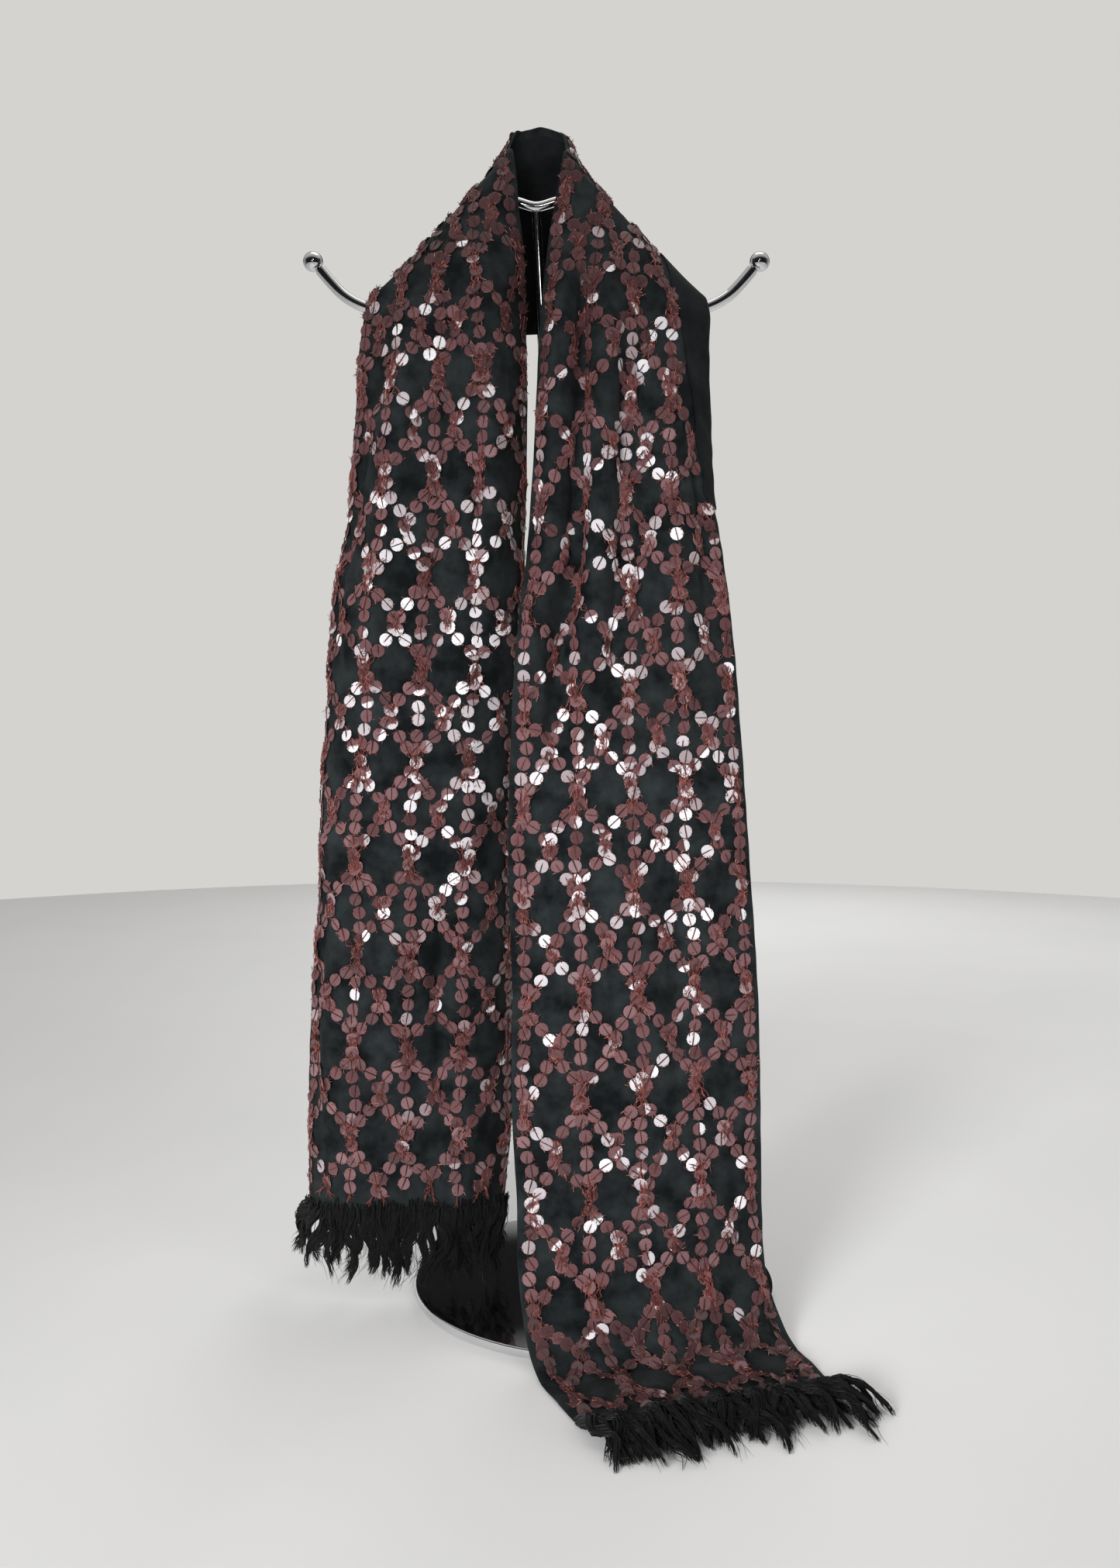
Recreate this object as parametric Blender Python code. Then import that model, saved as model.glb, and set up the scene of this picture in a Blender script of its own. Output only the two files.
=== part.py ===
"""A lined silk scarf with fringed ends, draped over a chrome display stand.

Metres, +Z up, +X to the right as the scarf is seen from the front, -Y towards the viewer. The origin
is the centre of the base plate's underside. Tables are in millimetres and degrees.
"""

import math

import bmesh
import bpy
import numpy as np
from mathutils import Vector

MM = 0.001
GAP = 0.3

# Colours, linear
CHROME = (0.75, 0.75, 0.76)
SEQUINED = (0.16, 0.09, 0.1)
LINING = (0.02, 0.025, 0.03)
YARN = (0.02, 0.02, 0.02)

# Driving sizes of the stand, in millimetres
BASE_RADIUS = 150
BASE_HEIGHT = 8
BASE_EDGE = 1.5
BASE_SIDES = 72
ROD_RADIUS = 4.6
ROD_SIDES = 10
POST_TOP = (-47.6, 0, 884.4)
BALL_RADIUS = 8
BALL_SIDES = 16
BALL_RINGS = 9
BALL_CENTRE = (180.5, 846.6)

# One half of the cross-arm, outwards from the post: offset from the post's top, and height
ARM_HALF = (
    (0, 889.5),
    (16, 893.5),
    (31, 897),
    (44, 895),
    (55, 884.6),
    (65, 866),
    (76, 840),
    (88, 818),
    (102, 807),
    (116, 805),
    (128, 807),
    (138, 810.3),
    (147, 814.2),
    (156, 820),
    (166, 830),
    (174.7, 840.2),
)
ARM_STEP = 9

# Driving sizes of the cloth, in millimetres
SCARF_WIDTH = 195
LINING_THICK = 1.1
FACE_THICK = 1.2
FLAP_THICK = 1.4
FACE_LOW = LINING_THICK + GAP
FACE_HIGH = FACE_LOW + FACE_THICK
FLAP_LOW = FACE_HIGH + 2 * GAP
FLAP_HIGH = FLAP_LOW + FLAP_THICK
WIDTH_STEPS = 14
SECTION_PARTS = 60
TURN_SHARE = 0.36
FOLD_FADE = 70

# Sections of the left front from the shoulder to the hem, on the lining's reverse. Columns: inner
# edge x, y, z; outer edge x, y, z; how far the inner and outer edges turn back, in degrees; and the
# steps to the next section.
LEFT_FRONT = (
    (-68, 3, 935, -181, 1, 814.5, -5, -12, 2),
    (-66, -7, 932, -183, -7, 812, -2, -8, 2),
    (-64, -13, 917, -185, -13, 797, 6, 6, 2),
    (-62, -14, 884, -190, -11, 765, 24, 28, 2),
    (-58, -12, 842, -192, -6, 727, 44, 48, 2),
    (-57, -8, 776, -196, -2, 684, 60, 62, 2),
    (-57, -4, 696, -201, 0, 628, 68, 70, 2),
    (-59, 0, 621, -213, 2, 571, 70, 72, 2),
    (-62, 2, 520, -219, 4, 482, 70, 72, 2),
    (-69, 4, 424, -224, 5, 418, 72, 74, 2),
    (-71, 5, 334, -227, 6, 334, 72, 74, 2),
    (-70, 5, 236, -235, 6, 235, 64, 68, 2),
    (-70, 4, 150, -238, 5, 150, 60, 64, 2),
    (-77, 2, 71, -238, 4, 72, 62, 64, 0),
)

# Sections of the right front from the shoulder down and out along the ground, in the same columns
RIGHT_FRONT = (
    (-25, 3, 933.6, 86, 1, 814.7, -5, -12, 2),
    (-26, -7, 930.6, 88, -7, 812, -2, -8, 2),
    (-28, -14, 914, 90, -13, 801, 6, 6, 2),
    (-33, -20, 882, 89, -15, 778, 18, 24, 2),
    (-39, -28, 840, 89, -18, 743, 26, 34, 2),
    (-44, -38, 781, 90, -23, 699, 30, 36, 2),
    (-48, -49, 695, 92, -31, 653, 30, 34, 2),
    (-53, -60, 615, 99, -40, 609, 28, 30, 2),
    (-61, -70, 543, 107, -49, 543, 22, 26, 2),
    (-66, -80, 467, 113, -57, 466, 16, 20, 2),
    (-68, -92, 365, 120, -66, 361, 12, 16, 2),
    (-65, -102, 272, 126, -74, 263, 12, 14, 2),
    (-65, -111, 178, 128, -80, 166, 14, 16, 2),
    (-61, -118, 108, 129, -84, 92, 16, 18, 2),
    (-60, -126, 62, 131, -88, 52, 18, 20, 2),
    (-56, -138, 30, 137, -95, 26, 22, 24, 2),
    (-50, -158, 8, 145, -108, 7, 18, 18, 2),
    (-42, -184, 0, 152, -128, 0, 0, 0, 2),
    (-29, -215, 0, 161, -157, 0, 0, 0, 2),
    (-15, -247, 0, 168, -187, 0, 0, 0, 0),
)

# Sections of the neck stretch between the two shoulder lines, in the same columns; the inner edge
# is the upper one, and the first and last sections are the fronts' own
NECK = (
    (-68, 13, 942, -179, 10, 809, -5, -12, 2),
    (-63, 27, 955, -162, 17, 800, -8, -12, 2),
    (-55, 37, 964, -108, 21, 791, -14, -10, 2),
    (-44, 41, 968, -48, 18, 793, -16, -10, 2),
    (-33, 37, 962, 13, 21, 794, -14, -10, 2),
    (-27, 26, 951, 66, 17, 804, -8, -12, 2),
    (-25, 13, 941, 84, 10, 810, -5, -12, 2),
)

# Folds that run down a front. Columns: place across the width at the fold's start and at its end (0
# at the inner edge), half its width as a share of the width, its depth in millimetres, and the
# lengths from the shoulder at which it starts and ends
LEFT_FOLDS = (
    (0.24, 0.20, 0.11, 6, 40, 330),
    (0.44, 0.46, 0.10, -5, 60, 420),
    (0.66, 0.72, 0.12, 7, 30, 360),
    (0.86, 0.86, 0.10, -6, 60, 300),
    (0.55, 0.50, 0.16, 4, 420, 800),
)
RIGHT_FOLDS = (
    (0.10, 0.06, 0.08, 7, 60, 420),
    (0.24, 0.18, 0.09, -9, 50, 470),
    (0.38, 0.34, 0.10, 8, 40, 430),
    (0.56, 0.58, 0.12, -6, 60, 380),
    (0.78, 0.74, 0.14, 5, 80, 420),
    (0.50, 0.55, 0.22, 4, 480, 760),
)

# The turned margin: length from the shoulder, and where its free edge lies across the width
FLAP_EDGE = (
    (0, 0.643),
    (14, 0.67),
    (40, 0.74),
    (75, 0.80),
    (110, 0.83),
    (145, 0.87),
    (180, 0.91),
    (225, 0.95),
)
FLAP_STEP = 0.8 / SCARF_WIDTH

# Driving sizes of the fringes, in millimetres. LOCK_RINGS gives each ring of a lock: its place as a
# share of the lock's length, and its size as a share of the root's.
FRINGE_LOCKS = 62
TAPE_WIDTH = 6
LOCK_ROOT_SHARE = 0.58
LOCK_THICK = 1.7
LOCK_RINGS = ((0.36, 0.9), (0.72, 0.62))

# The left fringe hangs and its outer corner curls away from the panel
HANG_LENGTH = 47
HANG_RAGGED = 7
HANG_WAVE = 4
HANG_CURL = 26
HANG_CURL_FROM = 0.72
HANG_LIFT = 9
HANG_DEPTH = 4
HANG_SWELL = 3

# The right fringe lies on the ground and its outer corner spreads
LIE_LENGTH = 46
LIE_RAGGED = 8
LIE_WAVE = 6
LIE_SPREAD = 18
LIE_SPREAD_FROM = 0.7
LIE_RISE = 6
LIE_RISE_RAGGED = 3

# Sideways sway of both fringes' locks, and the waves' steps in radians for each lock
LOCK_SWAY = 3.5
RAGGED_STEP = 2.3
DEPTH_STEP = 2.1
SLOW_STEP = 0.39
SWAY_STEP = 0.22


def ease(value):
    """Runs smoothly from 0 to 1 as the value does."""
    share = np.clip(value, 0.0, 1.0)
    return share * share * (3 - 2 * share)


def through_rows(knots, values, at):
    """A smooth curve through the values at the knots, read at the given places."""
    steps = np.diff(knots)[:, None]
    slopes = np.diff(values, axis=0) / steps
    middle = (slopes[:-1] * steps[1:] + slopes[1:] * steps[:-1]) / (steps[1:] + steps[:-1])
    tangents = np.vstack((slopes[:1], middle, slopes[-1:]))
    span = np.clip(np.searchsorted(knots, at, side="right") - 1, 0, len(knots) - 2)
    width = (knots[span + 1] - knots[span])[:, None]
    u = (np.asarray(at)[:, None] - knots[span][:, None]) / width
    first = (1 + 2 * u) * (1 - u) ** 2 * values[span] + u * (1 - u) ** 2 * width * tangents[span]
    second = u * u * (3 - 2 * u) * values[span + 1] - u * u * (1 - u) * width * tangents[span + 1]
    return first + second


def section_shape(turn_in, turn_out, across):
    """Places along a section's chord, and heights over it, for edges that turn back so far."""
    t = np.linspace(0, 1, SECTION_PARTS + 1)
    heading = np.radians(turn_in) * ease((TURN_SHARE - t) / TURN_SHARE)
    heading -= np.radians(turn_out) * ease((t - 1 + TURN_SHARE) / TURN_SHARE)
    steps = np.exp(0.5j * (heading[1:] + heading[:-1]))
    line = np.concatenate(([0], np.cumsum(steps)))
    line /= line[-1]
    return np.interp(across, t, line.real), np.interp(across, t, line.imag)


def fold_height(folds, across, length):
    """How far the folds lift the cloth at these places across the width, at one length."""
    height = np.zeros_like(across)
    for start_at, end_at, half, depth, start, end in folds:
        share = np.clip((length - start) / (end - start), 0, 1)
        centre = start_at + (end_at - start_at) * share
        near = np.clip(np.abs(across - centre) / half, 0, 1)
        fade = ease((length - start) / FOLD_FADE) * ease((end - length) / FOLD_FADE)
        height += depth * fade * (0.5 + 0.5 * np.cos(math.pi * near))
    return height


def knots_of(table):
    """The length from the first section to each one, measured down the middle of the cloth."""
    middle = (table[:, 0:3] + table[:, 3:6]) / 2
    return np.concatenate(([0], np.cumsum(np.linalg.norm(np.diff(middle, axis=0), axis=1))))


def stepped(table, knots):
    """The lengths at which the cloth's rows of points lie."""
    lengths = [0.0]
    for row, start, end in zip(table, knots[:-1], knots[1:]):
        count = int(row[8])
        lengths += [start + (end - start) * (k + 1) / count for k in range(count)]
    return np.array(lengths)


def surface(table, folds, lengths, across, side):
    """Points of a cloth stretch, one row for each length and one column for each place across.

    side is 1 where inner edge, outer edge and way down turn clockwise as the sequins face you."""
    knots = knots_of(table)
    rows = through_rows(knots, table[:, :8], lengths)
    middle = (table[:, 0:3] + table[:, 3:6]) / 2
    ahead = through_rows(knots, middle, np.minimum(lengths + 1, knots[-1]))
    behind = through_rows(knots, middle, np.maximum(lengths - 1, 0))
    points = np.zeros((len(lengths), len(across), 3))
    for k, (row, way) in enumerate(zip(rows, ahead - behind)):
        inner, outer = row[0:3], row[3:6]
        chord = outer - inner
        out = side * np.cross(way, chord)
        out /= np.linalg.norm(out)
        places, heights = section_shape(row[6], row[7], across)
        lift = heights * np.linalg.norm(chord) + fold_height(folds, across, lengths[k])
        points[k] = inner + places[:, None] * chord + lift[:, None] * out
    points[..., 2] = np.maximum(points[..., 2], 0)
    return points


def out_of(points, side):
    """The unit direction out of the sequined side at each point."""
    down = np.gradient(points, axis=0)
    over = np.gradient(points, axis=1)
    out = side * np.cross(down, over)
    return out / np.linalg.norm(out, axis=2, keepdims=True)


def linked(name, colour, roughness, metallic, vertices, faces):
    """A mesh object with its own material, its faces turned outwards."""
    mesh = bpy.data.meshes.new(name)
    mesh.from_pydata([tuple(float(c) * MM for c in v) for v in vertices], [], faces)
    shape = bmesh.new()
    shape.from_mesh(mesh)
    bmesh.ops.recalc_face_normals(shape, faces=shape.faces)
    shape.to_mesh(mesh)
    shape.free()
    mesh.shade_smooth()
    mesh.set_sharp_from_angle(angle=math.radians(50))
    material = bpy.data.materials.new(name + "_finish")
    material.use_nodes = True
    shader = material.node_tree.nodes["Principled BSDF"]
    shader.inputs["Base Color"].default_value = (*colour, 1)
    shader.inputs["Roughness"].default_value = roughness
    shader.inputs["Metallic"].default_value = metallic
    mesh.materials.append(material)
    piece = bpy.data.objects.new(name, mesh)
    bpy.context.collection.objects.link(piece)
    return piece


def wall(name, colour, points, out, low, high):
    """A cloth wall between two distances from a sheet of points."""
    rows, columns = points.shape[:2]
    vertices = np.concatenate(((points + out * low).reshape(-1, 3), (points + out * high).reshape(-1, 3)))
    lower = [[r * columns + c for c in range(columns)] for r in range(rows)]
    upper = [[v + rows * columns for v in row] for row in lower]
    faces = []
    for r in range(rows - 1):
        for c in range(columns - 1):
            for sheet in (lower, upper):
                faces.append((sheet[r][c], sheet[r][c + 1], sheet[r + 1][c + 1], sheet[r + 1][c]))
    rim = [(0, c) for c in range(columns)]
    rim += [(r, columns - 1) for r in range(1, rows)]
    rim += [(rows - 1, c) for c in range(columns - 2, -1, -1)]
    rim += [(r, 0) for r in range(rows - 2, 0, -1)]
    for (r, c), (s, d) in zip(rim, rim[1:] + rim[:1]):
        faces.append((lower[r][c], lower[s][d], upper[s][d], upper[r][c]))
    return linked(name, colour, 0.8, 0.0, vertices, faces)


def turned(name, profile, sides):
    """A solid turned about +Z from a profile of radius and height, from the bottom to the top."""
    vertices = []
    for radius, height in profile:
        for k in range(sides):
            angle = math.tau * k / sides
            vertices.append((radius * math.cos(angle), radius * math.sin(angle), height))
    top = len(vertices) - sides
    faces = [tuple(range(sides)), tuple(range(top, top + sides))]
    for low in range(0, top, sides):
        for k in range(sides):
            after = (k + 1) % sides
            faces.append((low + k, low + after, low + sides + after, low + sides + k))
    return linked(name, CHROME, 0.12, 1.0, vertices, faces)


def rod(name, path, radius, sides):
    """A round rod along a path in the plane of the arms, with flat ends."""
    path = [Vector(p) for p in path]
    vertices = []
    for k, point in enumerate(path):
        way = (path[min(k + 1, len(path) - 1)] - path[max(k - 1, 0)]).normalized()
        first = Vector((0, 1, 0))
        second = way.cross(first)
        for j in range(sides):
            angle = math.tau * (j + 0.5) / sides
            vertices.append(point + radius * (math.cos(angle) * first + math.sin(angle) * second))
    faces = [tuple(range(sides)), tuple(range(len(vertices) - sides, len(vertices)))]
    for k in range(len(path) - 1):
        for j in range(sides):
            after = (j + 1) % sides
            low, high = k * sides, (k + 1) * sides
            faces.append((low + j, low + after, high + after, high + j))
    return linked(name, CHROME, 0.12, 1.0, vertices, faces)


def arm_path():
    """The cross-arm's middle line, from the left ball to the right one."""
    right = [(x, z) for x, z in ARM_HALF]
    left = [(-x, z) for x, z in reversed(ARM_HALF[1:])]
    knots = np.array(left + right, dtype=float)
    lengths = np.concatenate(([0], np.cumsum(np.linalg.norm(np.diff(knots, axis=0), axis=1))))
    places = np.linspace(0, lengths[-1], round(lengths[-1] / ARM_STEP) + 1)
    line = through_rows(lengths, knots, places)
    return [(POST_TOP[0] + x, 0, z) for x, z in line]


def ball(name, centre):
    """A ball end, centred past the end of its arm."""
    vertices = [(centre[0], centre[1], centre[2] - BALL_RADIUS)]
    for r in range(1, BALL_RINGS):
        tilt = math.pi * r / BALL_RINGS
        flat = BALL_RADIUS * math.sin(tilt)
        height = centre[2] - BALL_RADIUS * math.cos(tilt)
        for k in range(BALL_SIDES):
            angle = math.tau * k / BALL_SIDES
            vertices.append((centre[0] + flat * math.cos(angle), centre[1] + flat * math.sin(angle), height))
    top = len(vertices)
    vertices.append((centre[0], centre[1], centre[2] + BALL_RADIUS))
    faces = []
    for k in range(BALL_SIDES):
        after = (k + 1) % BALL_SIDES
        faces.append((0, 1 + k, 1 + after))
        faces.append((top, top - BALL_SIDES + k, top - BALL_SIDES + after))
        for low in range(1, top - BALL_SIDES, BALL_SIDES):
            high = low + BALL_SIDES
            faces.append((low + k, low + after, high + after, high + k))
    return linked(name, CHROME, 0.12, 1.0, vertices, faces)


def fringe(name, edge, way, out, lock):
    """A heading tape along the cloth's edge, with tapered locks grown from its free side.

    edge, way and out have a row for each end of a lock's place: where the cloth ends, which way it
    runs there and which way its sequins face. lock gives the middle line of lock k as shares of its
    length and the offsets along the edge, away from the edge and out."""
    near, far = GAP, GAP + TAPE_WIDTH
    corners = ((near, 0), (near, FACE_HIGH), (far, FACE_HIGH), (far, 0))
    vertices = [p + w * a + n * b for p, w, n in zip(edge, way, out) for a, b in corners]
    faces = [(0, 1, 2, 3), tuple(len(vertices) - 4 + c for c in range(4))]
    for k in range(len(edge) - 1):
        here, there = 4 * k, 4 * (k + 1)
        for c in (0, 1, 3):
            d = (c + 1) % 4
            faces.append((here + c, here + d, there + d, there + c))
        along = edge[k + 1] - edge[k]
        pitch = np.linalg.norm(along)
        along = along / pitch
        down = (way[k] + way[k + 1]) / 2
        up = (out[k] + out[k + 1]) / 2
        root = (edge[k] + edge[k + 1]) / 2 + down * far + up * FACE_HIGH / 2
        half = pitch * LOCK_ROOT_SHARE / 2
        ring = (here + 3, here + 2, there + 2, there + 3)
        for share, size in ((0, 1),) + LOCK_RINGS:
            centre = root + sum(part * line for part, line in zip(lock(k, share), (along, down, up)))
            first = len(vertices)
            for a, b in ((-half, -LOCK_THICK / 2), (-half, LOCK_THICK / 2), (half, LOCK_THICK / 2),
                         (half, -LOCK_THICK / 2)):
                vertices.append(centre + along * a * size + up * b * size)
            after = (first, first + 1, first + 2, first + 3)
            for c in range(4):
                d = (c + 1) % 4
                faces.append((ring[c], ring[d], after[d], after[c]))
            ring = after
        tip = root + sum(part * line for part, line in zip(lock(k, 1), (along, down, up)))
        vertices.append(tip)
        for c in range(4):
            faces.append((ring[c], ring[(c + 1) % 4], len(vertices) - 1))
    return linked(name, YARN, 0.9, 0.0, vertices, faces)


def hanging_lock(k, share):
    """The left fringe: hangs, curls outwards near the outer edge, and ends unevenly."""
    curled = ease(((k + 0.5) / FRINGE_LOCKS - HANG_CURL_FROM) / (1 - HANG_CURL_FROM))
    length = HANG_LENGTH + HANG_RAGGED * math.sin(RAGGED_STEP * k) + HANG_WAVE * math.sin(SLOW_STEP * k + 1)
    sway = LOCK_SWAY * math.sin(SWAY_STEP * k + 2 * share) * share
    depth = HANG_DEPTH * math.sin(DEPTH_STEP * k) * share * (1.2 - share)
    depth += HANG_SWELL * share * math.sin(SLOW_STEP * k)
    return HANG_CURL * curled * math.sin(1.9 * share) + sway, (length - HANG_LIFT * curled) * share, depth


def lying_lock(k, share):
    """The right fringe: lies on the ground in a low uneven heap."""
    spread = ease(((k + 0.5) / FRINGE_LOCKS - LIE_SPREAD_FROM) / (1 - LIE_SPREAD_FROM))
    length = LIE_LENGTH + LIE_RAGGED * math.sin(RAGGED_STEP * k + 1) + LIE_WAVE * math.sin(SLOW_STEP * k)
    sway = LOCK_SWAY * math.sin(SWAY_STEP * k + 2 * share) * share
    rise = LIE_RISE + LIE_RISE_RAGGED * math.sin(DEPTH_STEP * k)
    rise *= math.sin(math.pi * share) * (1 - 0.4 * share)
    return LIE_SPREAD * spread * share + sway, length * share, rise


def build_stand():
    """Base plate, leaning post, cross-arm and ball ends."""
    turned(
        "stand_base",
        (
            (BASE_RADIUS - BASE_EDGE, 0),
            (BASE_RADIUS, BASE_EDGE),
            (BASE_RADIUS, BASE_HEIGHT - BASE_EDGE),
            (BASE_RADIUS - BASE_EDGE, BASE_HEIGHT),
        ),
        BASE_SIDES,
    )
    lean = math.atan2(-POST_TOP[0], POST_TOP[2] - BASE_HEIGHT)
    foot = BASE_HEIGHT + GAP + ROD_RADIUS * math.sin(lean)
    rod("stand_post", ((0, 0, foot), POST_TOP), ROD_RADIUS, ROD_SIDES)
    rod("stand_arms", arm_path(), ROD_RADIUS, ROD_SIDES)
    for name, sign in (("stand_ball_left", -1), ("stand_ball_right", 1)):
        ball(name, (POST_TOP[0] + sign * BALL_CENTRE[0], 0, BALL_CENTRE[1]))


def cloth_sheets(left, right):
    """Points and directions out of the sequined side for the three stretches of cloth."""
    across = np.linspace(0, 1, WIDTH_STEPS + 1)
    sheets = {}
    for name, table, folds, side in (("left", left, LEFT_FOLDS, -1), ("right", right, RIGHT_FOLDS, 1)):
        points = surface(table, folds, stepped(table, knots_of(table)), across, side)
        sheets[name] = (points, out_of(points, side))
    neck = np.vstack((left[0], np.array(NECK, float), right[0]))
    points = surface(neck, (), stepped(neck, knots_of(neck)), across, 1)
    ends = ((0, 1, "left"), (-1, -2, "right"))
    for row, after, name in ends:
        way = points[after] - sheets[name][0][0]
        way /= np.linalg.norm(way, axis=1, keepdims=True)
        points[row] = sheets[name][0][0] + GAP * way
    out = out_of(points, 1)
    for row, after, name in ends:
        shared = out[row] + sheets[name][1][0]
        shared /= np.linalg.norm(shared, axis=1, keepdims=True)
        out[row] = shared
        sheets[name][1][0] = shared
    sheets["neck"] = (points, out)
    return sheets


def turned_margin(table, points, out):
    """The right shoulder's turned margin, on the panel's own points and clear of its sequined side."""
    across = np.linspace(0, 1, WIDTH_STEPS + 1)
    lengths = stepped(table, knots_of(table))
    edge = np.array(FLAP_EDGE, float)
    rows = int(np.searchsorted(lengths, edge[-1, 0]))
    first = int(edge[0, 1] * WIDTH_STEPS)
    flap = np.zeros((2, rows, WIDTH_STEPS + 1 - first, 3))
    for r in range(rows):
        start = np.interp(lengths[r], edge[:, 0], edge[:, 1])
        places = np.maximum(across[first:], start + FLAP_STEP * np.arange(WIDTH_STEPS + 1 - first))
        for kind, sheet in enumerate((points, out)):
            for axis in range(3):
                flap[kind, r, :, axis] = np.interp(places, across, sheet[r, :, axis])
    wall("turned_margin_right", LINING, flap[0], flap[1], FLAP_LOW, FLAP_HIGH)


def hem_fringe(name, table, folds, side, lock):
    """The fringe along the end of a front."""
    ends = np.linspace(0, 1, FRINGE_LOCKS + 1)
    end = knots_of(table)[-1]
    last = surface(table, folds, np.array((end - 2, end - 1, end)), ends, side)
    way = last[2] - last[1]
    way /= np.linalg.norm(way, axis=1, keepdims=True)
    fringe(name, last[2], way, out_of(last, side)[2], lock)


def build_scarf():
    """The lined cloth in its three stretches, the turned margin and the two fringes."""
    left, right = np.array(LEFT_FRONT, float), np.array(RIGHT_FRONT, float)
    sheets = cloth_sheets(left, right)
    for name, (points, out) in sheets.items():
        wall("lining_" + name, LINING, points, out, 0, LINING_THICK)
        wall("face_" + name, SEQUINED, points, out, FACE_LOW, FACE_HIGH)
    turned_margin(right, *sheets["right"])
    hem_fringe("fringe_left", left, LEFT_FOLDS, -1, hanging_lock)
    hem_fringe("fringe_right", right, RIGHT_FOLDS, 1, lying_lock)


def build():
    """Clears the scene and makes every piece."""
    for old in list(bpy.data.objects):
        bpy.data.objects.remove(old)
    build_stand()
    build_scarf()


build()
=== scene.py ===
import math

import bpy
import numpy as np
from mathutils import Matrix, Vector
from mathutils.kdtree import KDTree


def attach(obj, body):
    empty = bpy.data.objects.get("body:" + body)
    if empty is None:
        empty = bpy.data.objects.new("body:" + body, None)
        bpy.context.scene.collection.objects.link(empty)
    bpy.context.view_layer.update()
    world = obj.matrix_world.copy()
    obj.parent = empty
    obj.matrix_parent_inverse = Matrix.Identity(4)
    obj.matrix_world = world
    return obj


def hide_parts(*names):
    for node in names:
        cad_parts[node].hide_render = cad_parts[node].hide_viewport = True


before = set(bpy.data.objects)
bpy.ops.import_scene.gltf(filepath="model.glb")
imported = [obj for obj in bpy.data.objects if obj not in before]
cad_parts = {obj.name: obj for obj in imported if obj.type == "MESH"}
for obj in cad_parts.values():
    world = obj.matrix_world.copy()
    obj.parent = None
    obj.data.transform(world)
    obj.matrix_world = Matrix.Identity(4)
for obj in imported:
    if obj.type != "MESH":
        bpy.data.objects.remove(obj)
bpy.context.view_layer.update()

# The scarf and its stand, dressed. Metres, +Z up, +X to the right as the sequins face the camera.
# Tables and sizes are in millimetres and degrees, as in the construction.
MM = 0.001
SEED = 7

# Sizes of the stand. The seat is the gap under the post
BASE_RADIUS = 150
BASE_HEIGHT = 8
BASE_EDGE = 1.5
ROD_RADIUS = 4.6
POST_TOP = (-47.6, 0, 884.4)
POST_SEAT = 0.3
BALL_RADIUS = 8
BALL_CENTRE = (180.5, 846.6)

# How finely the stand is made: sides round it and rings along it, and the angle that a ball leaves
# open at its poles
BASE_SIDES = 192
EDGE_RINGS = 5
ROD_SIDES = 28
POST_RINGS = 24
ARM_RINGS = 140
BALL_SIDES = 36
BALL_RINGS = 25
BALL_POLE = 0.02

# One half of the cross-arm, outwards from the post: offset from the post's top, and height
ARM_HALF = (
    (0, 889.5),
    (16, 893.5),
    (31, 897),
    (44, 895),
    (55, 884.6),
    (65, 866),
    (76, 840),
    (88, 818),
    (102, 807),
    (116, 805),
    (128, 807),
    (138, 810.3),
    (147, 814.2),
    (156, 820),
    (166, 830),
    (174.7, 840.2),
)

# Sizes of the cloth. Low and high are distances out of the surface that the tables below describe
WIDTH = 195
FACE_LOW = 1.6
FACE_HIGH = 2.5
LINING_LOW = 0.25
LINING_HIGH = 1.0
HEM_LOW = 0.2
HEM_BAND = 2.6
HEM_FADE = 2.4
HEM_COLUMNS = (0, 0.4, 1.2, HEM_BAND)
HEM_LEAST = 0.02
LINING_INSET = 5
MARGIN_LOW = 3.1
MARGIN_HIGH = 4.2
MARGIN_PROUD = 1.3
MARGIN_COLUMNS = 26
MARGIN_RIPPLE = 0.5
MARGIN_TUCK = 2.5
SECTION_PARTS = 60
TURN_SHARE = 0.36
FOLD_FADE = 70
CLOTH_STEP = 4.0
SHARP_ANGLE = 60

# Sections of the left front from the shoulder to the hem. Columns: inner edge x, y, z; outer edge
# x, y, z; and how far the inner and outer edges turn back
LEFT_FRONT = (
    (-68, 3, 935, -181, 1, 814.5, -5, -12),
    (-66, -7, 932, -183, -7, 812, -2, -8),
    (-64, -13, 917, -185, -13, 797, 6, 6),
    (-62, -14, 884, -190, -11, 765, 24, 28),
    (-58, -12, 842, -192, -6, 727, 44, 48),
    (-57, -8, 776, -196, -2, 684, 60, 62),
    (-57, -4, 696, -201, 0, 628, 68, 70),
    (-59, 0, 621, -213, 2, 571, 70, 72),
    (-62, 2, 520, -219, 4, 482, 70, 72),
    (-69, 4, 424, -224, 5, 418, 72, 74),
    (-71, 5, 334, -227, 6, 334, 72, 74),
    (-70, 5, 236, -235, 6, 235, 64, 68),
    (-70, 4, 150, -238, 5, 150, 60, 64),
    (-77, 2, 71, -238, 4, 72, 62, 64),
)

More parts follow.
